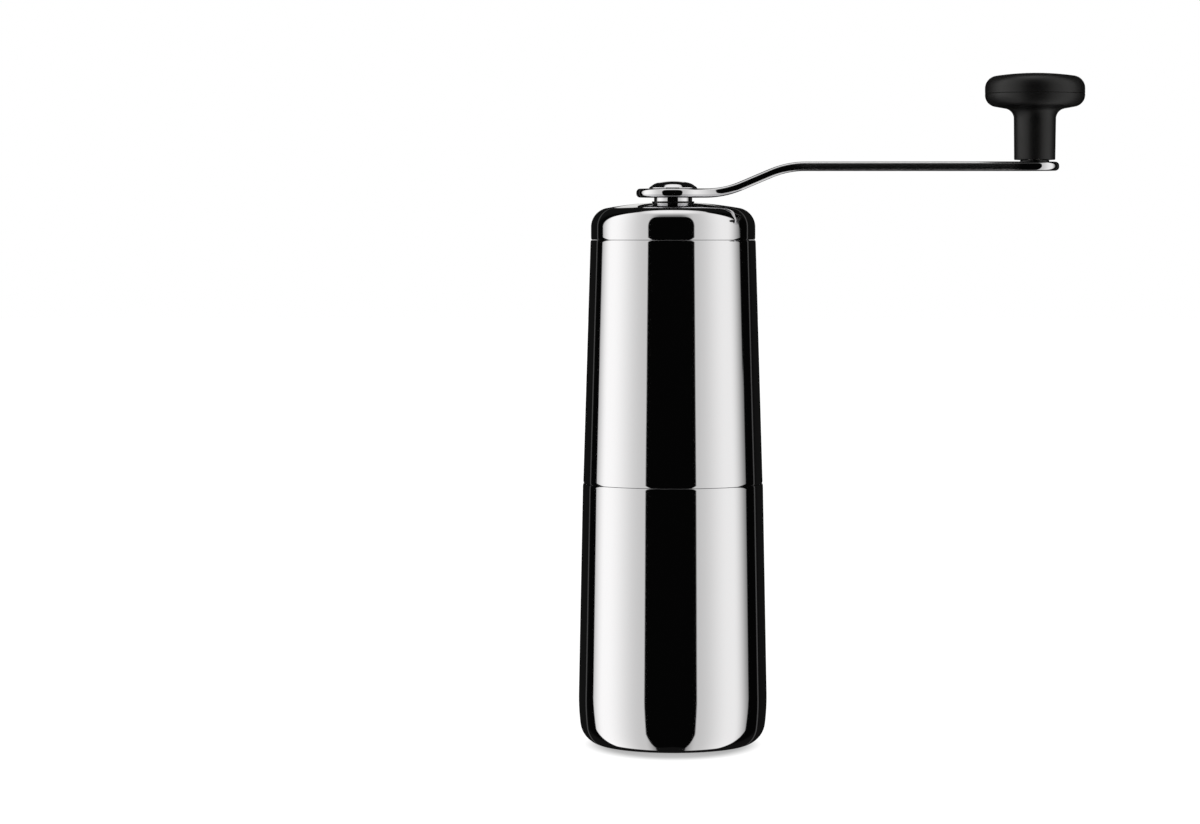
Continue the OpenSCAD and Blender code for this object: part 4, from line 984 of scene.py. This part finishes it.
def rolled(name, colour, roughness, grain_mm):
    """Rolled sheet or drawn wire: a dull metal with a fine even grain."""
    material, tree = new_material(name)
    place = add_node(tree, "ShaderNodeTexCoord").outputs["Object"]
    grain = noise(tree, place, grain_mm, 3.0)
    gloss = ramp_up(tree, grain, 0.3, 0.7, roughness - 0.05, roughness + 0.05)
    shader = add_node(tree, "ShaderNodeBsdfPrincipled", {"Base Color": linear(colour), "Metallic": 1.0},
                      {"Roughness": gloss, "Normal": relief(tree, grain, 0.003)})
    finish_material(tree, shader)
    return material


turned_steel = turned("turned stainless steel", "#C4C4C6", 0.24, 0.002)
turned_brass = turned("turned brass", "#D9B36A", 0.26, 0.002)
sheet_steel = rolled("stamped stainless sheet", "#C2C3C6", 0.3, 0.5)
spring_steel = rolled("drawn spring steel", "#8E9093", 0.32, 0.3)
print("metals ready; tool marks", TOOL_MM, "mm apart")

# %% Knob screw and sleeve
pin_foot_z = RUN_TOP - ARM_THICK
pin_head_z = sleeve_top + TURN_GAP
pin_top = pin_head_z + PIN_HEAD_HEIGHT
pin_outline = ([(0, pin_foot_z + 0.35), (PIN_FOOT - 0.9, pin_foot_z)]
               + [(PIN_FOOT - 0.15, pin_foot_z), (PIN_FOOT, pin_foot_z + 0.15), (PIN_FOOT, RUN_TOP),
                  (PIN_RADIUS, RUN_TOP), (PIN_RADIUS, pin_head_z)]
               + broken(pin_head, pin_head_z, 0.15, False) + broken(pin_head, pin_top, 0.3, True)
               + [(0, pin_top)])
pin = lathe("shoulder_screw", pin_outline, CRANK_REACH, around=96)
key_floor = pin_head_z + PIN_HEAD_HEIGHT * 0.3
cut(pin, prism("pin socket", 6, PIN_RADIUS * 0.7, key_floor, pin_top + 1, CRANK_REACH))
dress(pin, turned_steel, "turned_steel", "crank", "knob_screw")

sleeve = lathe("brass_sleeve", [(PIN_RADIUS + RUN_GAP, GRIP_BOTTOM + 0.1)]
               + broken(sleeve_radius, GRIP_BOTTOM + 0.1, 0.15, False)
               + broken(sleeve_radius, sleeve_top, 0.15, True)
               + [(PIN_RADIUS + RUN_GAP, sleeve_top)], CRANK_REACH, around=96)
dress(sleeve, turned_brass, "sleeve_brass", "knob", "knob_sleeve")

# %% [markdown]
# ## The drive shaft
# One bar runs from the crank to the adjusting nut: a hexagon that the crank hub drops over, a round
# journal for both bushes, a second hexagon for the burr, and a screw thread. Its outline changes with the
# angle, so it is built as a stack of rings, each with its own rule for the radius.

# %% Stacks of rings
def stack(name, rings, points_around, axis_x=0.0):
    """A closed solid through rings, each a height and a rule for the radius at an angle in radians."""
    points = []
    for height, rule in rings:
        for k in range(points_around):
            a = 2 * math.pi * k / points_around
            points.append((axis_x + rule(a) * math.cos(a), rule(a) * math.sin(a), height))
    faces = [tuple(range(points_around))]
    for i in range(len(rings) - 1):
        for k in range(points_around):
            n = (k + 1) % points_around
            faces.append((i * points_around + k, i * points_around + n,
                          (i + 1) * points_around + n, (i + 1) * points_around + k))
    top = (len(rings) - 1) * points_around
    faces.append(tuple(range(top, top + points_around)))
    return mesh_from(name, points, faces)


def round_bar(radius):
    """A circle."""
    return lambda a: radius


def hexagon(width, corner):
    """A hexagon across the given flats whose corners are turned down to a radius."""
    half = math.radians(30)

    def rule(a):
        off = (a % (2 * half)) - half
        return min(width / 2 / math.cos(off), corner)
    return rule


def screw_thread(radius, depth, pitch, height):
    """The cut through a 60 degree thread at one height."""
    def rule(a):
        phase = (height / pitch - a / (2 * math.pi)) % 1.0
        crest = min(1.0, max(0.0, 1.35 - abs(phase - 0.5) * 3.1))
        return radius - depth * (1 - crest)
    return rule


print("ring stacks ready")

# %% Drive shaft
THREAD_RADIUS, THREAD_PITCH, THREAD_DEPTH = 2.45, 0.8, 0.42
JOURNAL_RADIUS = 3.5
SPRING_WASHER_THICK, HEX_END_GAP, HEX_BELOW_HUB = 0.5, 0.4, 3.0
SHAFT_BOTTOM, SHAFT_TOP = (corner.z for corner in low_high("drive_shaft"))
NUT_TOP = low_high("adjust_nut")[1].z
THREAD_TOP = NUT_TOP + 2 * THREAD_PITCH + 0.8
BUSH_FOOT = low_high("lower_bush")[0].z
BUSH_HEAD = low_high("lower_bush")[1].z
LOWER_HEX_TOP = BUSH_FOOT - TURN_GAP - SPRING_WASHER_THICK - HEX_END_GAP
UPPER_HEX_FOOT = HUB_BOTTOM - HEX_BELOW_HUB
CLIP_GROOVE = BUSH_HEAD + TURN_GAP
corner = HEX_WIDTH / 2 / math.cos(math.radians(30)) - 0.02
thread_steps = round((THREAD_TOP - SHAFT_BOTTOM - 0.9) / THREAD_PITCH * 8)
shaft_rings = [(SHAFT_BOTTOM, round_bar(THREAD_RADIUS - 0.6))]
for i in range(thread_steps + 1):
    z = SHAFT_BOTTOM + 0.45 + (THREAD_TOP - SHAFT_BOTTOM - 0.9) * i / thread_steps
    shaft_rings.append((z, screw_thread(THREAD_RADIUS, THREAD_DEPTH, THREAD_PITCH, z)))
shaft_rings += [(THREAD_TOP - 0.3, round_bar(THREAD_RADIUS - THREAD_DEPTH)),
                (THREAD_TOP, round_bar(THREAD_RADIUS - THREAD_DEPTH)),
                (THREAD_TOP, hexagon(HEX_WIDTH - 0.5, corner - 0.3)),
                (THREAD_TOP + 0.3, hexagon(HEX_WIDTH, corner)),
                (LOWER_HEX_TOP, hexagon(HEX_WIDTH, corner)),
                (LOWER_HEX_TOP, round_bar(JOURNAL_RADIUS - 0.1)),
                (LOWER_HEX_TOP + 0.1, round_bar(JOURNAL_RADIUS)),
                (CLIP_GROOVE, round_bar(JOURNAL_RADIUS)),
                (CLIP_GROOVE, round_bar(JOURNAL_RADIUS - CLIP_DEPTH)),
                (CLIP_GROOVE + CLIP_THICK + 2 * RUN_GAP, round_bar(JOURNAL_RADIUS - CLIP_DEPTH)),
                (CLIP_GROOVE + CLIP_THICK + 2 * RUN_GAP, round_bar(JOURNAL_RADIUS)),
                (UPPER_HEX_FOOT - 0.1, round_bar(JOURNAL_RADIUS)),
                (UPPER_HEX_FOOT, round_bar(JOURNAL_RADIUS - 0.1)),
                (UPPER_HEX_FOOT, hexagon(HEX_WIDTH, corner)), (SHAFT_TOP - 0.4, hexagon(HEX_WIDTH, corner)),
                (SHAFT_TOP, hexagon(HEX_WIDTH, corner - 0.6))]
shaft = stack("hex_shaft", shaft_rings, 96)
dress(shaft, turned_steel, "turned_steel", "shaft", "drive_shaft")

# %% [markdown]
# ## The adjusting nut
# A finger turns this lobed wheel under the burrs, and its brass thread moves the cone burr up or down:
# one full turn is 0.8 mm. Mould makers round such lobes so that they leave the tool cleanly and feel soft.

# %% Adjusting nut
NUT_RADIUS, NUT_LOBES, NUT_ROUND = 11.4, 6, 0.7
INSERT_RADIUS = 4.6
NUT_BOTTOM = low_high("adjust_nut")[0].z
lobe = NUT_RADIUS * 0.36
nut_hub = NUT_RADIUS - lobe * 0.75


def lobed(inset):
    """Outline of a hub with round lobes, drawn in by a given amount, as a rule for the radius."""
    step = 2 * math.pi / NUT_LOBES
    reach, size = NUT_RADIUS - lobe, lobe - inset

    def rule(a):
        off = (a + step / 2) % step - step / 2
        inside = size * size - (reach * math.sin(off)) ** 2
        on_lobe = reach * math.cos(off) + math.sqrt(inside) if inside > 0 else 0.0
        return max(nut_hub - inset, on_lobe)
    return rule


nut_rings = []
for i in range(7):
    a = math.radians(15 * i)
    nut_rings.append((NUT_BOTTOM + NUT_ROUND * (1 - math.cos(a)), lobed(NUT_ROUND * (1 - math.sin(a)))))
for i in range(7):
    a = math.radians(90 - 15 * i)
    nut_rings.append((NUT_TOP - NUT_ROUND * (1 - math.cos(a)), lobed(NUT_ROUND * (1 - math.sin(a)))))
nut = stack("lobed_nut", nut_rings, 240)
cut(nut, prism("nut bore", 96, INSERT_RADIUS + RUN_GAP, NUT_BOTTOM - 1, NUT_TOP + 1))
dress(nut, pp_black, "black_moulding", "adjuster", "adjust_nut")

insert_bore = THREAD_RADIUS + RUN_GAP
insert = lathe("threaded_insert", [(insert_bore + 0.35, NUT_BOTTOM + 0.4)]
               + broken(INSERT_RADIUS, NUT_BOTTOM + 0.4, 0.25, False)
               + broken(INSERT_RADIUS, NUT_TOP, 0.15, True)
               + [(insert_bore, NUT_TOP), (insert_bore, NUT_BOTTOM + 0.75)], around=96)
dress(insert, turned_brass, "sleeve_brass", "adjuster", "nut_insert")

# %% [markdown]
# ## Fired ceramic
# The burrs are pressed from alumina powder and fired: hard, off-white, with a faint mottle and a dry
# sheen that breaks up over grains less than a tenth of a millimetre across. A little light is let under
# the surface.

# %% Ceramic
def fired(name, colour, shade, roughness, grain_mm):
    """An unglazed fired ceramic with a cloudy colour and a fine grain."""
    material, tree = new_material(name)
    place = add_node(tree, "ShaderNodeTexCoord").outputs["Object"]
    mix = add_node(tree, "ShaderNodeMix", {"data_type": "RGBA", 6: linear(colour), 7: linear(shade)},
                   {0: noise(tree, place, 2.5, 3.0)})
    grain = relief(tree, noise(tree, place, grain_mm, 2.0), 0.006, strength=0.6)
    shader = add_node(tree, "ShaderNodeBsdfPrincipled",
                      {"Roughness": roughness, "IOR": 1.76, "Subsurface Weight": 0.08,
                       "Subsurface Scale": 0.4 * MM},
                      {"Base Color": mix.outputs[2], "Normal": grain})
    finish_material(tree, shader)
    return material


alumina = fired("fired alumina ceramic", "#EAE6DC", "#DDD8CB", 0.5, 0.08)
print("ceramic ready")

# %% [markdown]
# ## The burrs
# Both burrs carry fine saw teeth where the grounds leave and eight broad flutes where the beans enter.
# A press forms them in one stroke along a twist, so every tooth is a helix. Each burr is a stack of rings
# again, and the rule for the radius adds the saw teeth, the flutes and the twist.

# %% Burr teeth
FINE_TEETH, FLUTES = 40, 8
FINE_DEPTH, FLUTE_DEPTH = 0.7, 1.9
TWIST = math.radians(26)
FINE_ZONE, RING_HEIGHT = 7.0, 13.0
RING_BURR_RADIUS = 18.0
MOUTH = RING_BURR_RADIUS - 3.05
THROAT = MOUTH - 1.6
FLARE = RING_BURR_RADIUS - 2.4
RING_BOTTOM, RING_TOP = (corner.z for corner in low_high("ring_burr"))
CONE_BOTTOM, CONE_TOP = (corner.z for corner in low_high("cone_burr"))
BURR_GAP, CONE_DROP = 0.52, 1.4
slope = (MOUTH - THROAT) / FINE_ZONE
CONE_FOOT = MOUTH - BURR_GAP + CONE_DROP * slope
CONE_WAIST = MOUTH - BURR_GAP - (MOUTH - THROAT)
CONE_BORE = 5.95
CONE_HEAD = CONE_BORE + 3.45
throat_height = RING_BOTTOM + FINE_ZONE


def toothed(radius, height, fine, flute):
    """Saw teeth and flutes cut from a radius; a positive depth cuts outwards."""
    twist = TWIST * (height - RING_BOTTOM) / RING_HEIGHT

    def rule(a):
        b = a - twist
        saw = (b * FINE_TEETH / (2 * math.pi)) % 1.0
        tooth = saw / 0.8 if saw < 0.8 else (1 - saw) / 0.2
        wave = (1 - math.cos(b * FLUTES)) / 2
        return radius + fine * tooth + flute * wave
    return rule


def burr_rings(low, high, profile, fine, flute, count=22):
    """Rings of a burr's toothed surface; profile gives the radius at the foot, the throat and the head."""
    foot, throat, head = profile
    rings = []
    for i in range(count + 1):
        z = low + (high - low) * i / count
        if z < throat_height:
            radius = foot + (throat - foot) * (z - low) / (throat_height - low)
            above = 0.0
        else:
            above = (z - throat_height) / (high - throat_height)
            radius = throat + (head - throat) * above
        blend = above * above * (3 - 2 * above)
        rings.append((z, toothed(radius, z, fine * max(0.0, 1 - 1.15 * above), flute * blend)))
    return rings


print(f"teeth ready: cone {2 * CONE_FOOT:.2f} mm across its foot, ring {2 * THROAT:.2f} mm at its throat")

# %% Cone burr and ring burr
cone = stack("cone_teeth", burr_rings(CONE_BOTTOM, CONE_TOP, (CONE_FOOT, CONE_WAIST, CONE_HEAD),
                                      -FINE_DEPTH, -FLUTE_DEPTH), 400)
cut(cone, prism("driver bore", 96, CONE_BORE, CONE_BOTTOM - 1, CONE_TOP + 1))
dress(cone, alumina, "burr_ceramic", "burr", "cone_burr")

ring = lathe("ring_blank", [(0, RING_BOTTOM)] + broken(RING_BURR_RADIUS, RING_BOTTOM, 0.3, False)
             + broken(RING_BURR_RADIUS, RING_TOP, 0.3, True) + [(0, RING_TOP)])
bore_rings = burr_rings(RING_BOTTOM, RING_TOP, (MOUTH, THROAT, FLARE), FINE_DEPTH, FLUTE_DEPTH * 0.5)
bore_rings[0] = (RING_BOTTOM - 0.5, bore_rings[0][1])
bore_rings[-1] = (RING_TOP + 0.5, bore_rings[-1][1])
cut(ring, stack("ring_teeth", bore_rings, 400))
ring.name = "ring_teeth"
dress(ring, alumina, "burr_ceramic", "body", "ring_burr")

# %% [markdown]
# ## The burr spring
# A short coil of drawn wire presses the cone burr down on its nut. Spring makers close the end coils so that
# they lie flat. A round section is carried along the helix. In the grinder its lower end moves with the burr
# and its upper end with the shaft, so it shortens and lengthens between them; here it is one fixed mesh that
# moves with neither.

# %% Burr spring
COIL_RADIUS, WIRE_RADIUS, COILS = 4.9, 0.45, 4
WIRE_SIDES, COIL_STEPS = 16, 48
SPRING_BOTTOM, SPRING_TOP = (corner.z for corner in low_high("burr_spring"))


def helix_height(share):
    """Height along the wire's middle line; a quarter coil at each end lies flat."""
    dead = 0.25 / COILS
    climb = max(0.0, min(1.0, (share - dead) / (1 - 2 * dead)))
    climb = climb * 0.85 + 0.15 * climb * climb * (3 - 2 * climb)
    return SPRING_BOTTOM + WIRE_RADIUS + (SPRING_TOP - SPRING_BOTTOM - 2 * WIRE_RADIUS) * climb


wire_points = []
wire_faces = []
total = COILS * COIL_STEPS
for i in range(total + 1):
    turn_angle = 2 * math.pi * i / COIL_STEPS
    z = helix_height(i / total)
    size = WIRE_RADIUS * (0.8 if i in (0, total) else 1.0)
    for k in range(WIRE_SIDES):
        b = 2 * math.pi * k / WIRE_SIDES
        r = COIL_RADIUS + size * math.cos(b)
        wire_points.append((r * math.cos(turn_angle), r * math.sin(turn_angle), z + size * math.sin(b)))
for i in range(total):
    for k in range(WIRE_SIDES):
        n = (k + 1) % WIRE_SIDES
        low, high = i * WIRE_SIDES, (i + 1) * WIRE_SIDES
        wire_faces.append((low + k, low + n, high + n, high + k))
wire_faces.append(tuple(range(WIRE_SIDES)))
wire_faces.append(tuple(range(total * WIRE_SIDES, (total + 1) * WIRE_SIDES)))
spring = mesh_from("wire_helix", wire_points, wire_faces)
dress(spring, spring_steel, "spring_steel", None, "burr_spring")
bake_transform(spring)

# %% [markdown]
# ## The remaining parts
# The inner mouldings, plates, screws and rings already have their true shape. They keep their
# construction mesh, get a finish, and a small bevel breaks their edges as moulding or stamping would.

# %% Finish the rest
def finish_node(node, material, width):
    """Gives a construction piece its finish and softens its edges by a width in millimetres."""
    piece = bpy.data.objects[node]
    piece.data.materials.clear()
    piece.data.materials.append(material)
    weld = piece.modifiers.new("weld", "WELD")
    weld.merge_threshold = 0.002 * MM
    if width > 0:
        bevel = piece.modifiers.new("edge", "BEVEL")
        bevel.width = width * MM
        bevel.segments = 2
        bevel.limit_method = "ANGLE"
        bevel.angle_limit = math.radians(40)
        bevel.use_clamp_overlap = True
        bevel.harden_normals = False
    smooth = piece.modifiers.new("normals", "WEIGHTED_NORMAL")
    smooth.keep_sharp = True


for node, material, width in (
        ("hopper_liner", pp_grey, 0.2), ("burr_housing", pp_black, 0.2), ("feed_funnel", pp_black, 0.2),
        ("bush_carrier", pp_black, 0.2), ("lid_insert", pp_black, 0.2), ("burr_driver", pp_black, 0.15),
        ("burr_retainer", sheet_steel, 0.12), ("retainer_screws", turned_steel, 0.05),
        ("carrier_screws", turned_steel, 0.05), ("spring_washer", sheet_steel, 0.08),
        ("body_seal", silicone, 0), ("lid_seal", silicone, 0),
        ("upper_bush", acetal_natural, 0.12), ("lower_bush", acetal_natural, 0.12),
        ("hub_washer", acetal_natural, 0.06), ("hub_clip", spring_steel, 0.1),
        ("shaft_clip", spring_steel, 0.1)):
    finish_node(node, material, width)
    print("finished", node)

# %% [markdown]
# ## The last step

# %% Finish
print("dressing done")
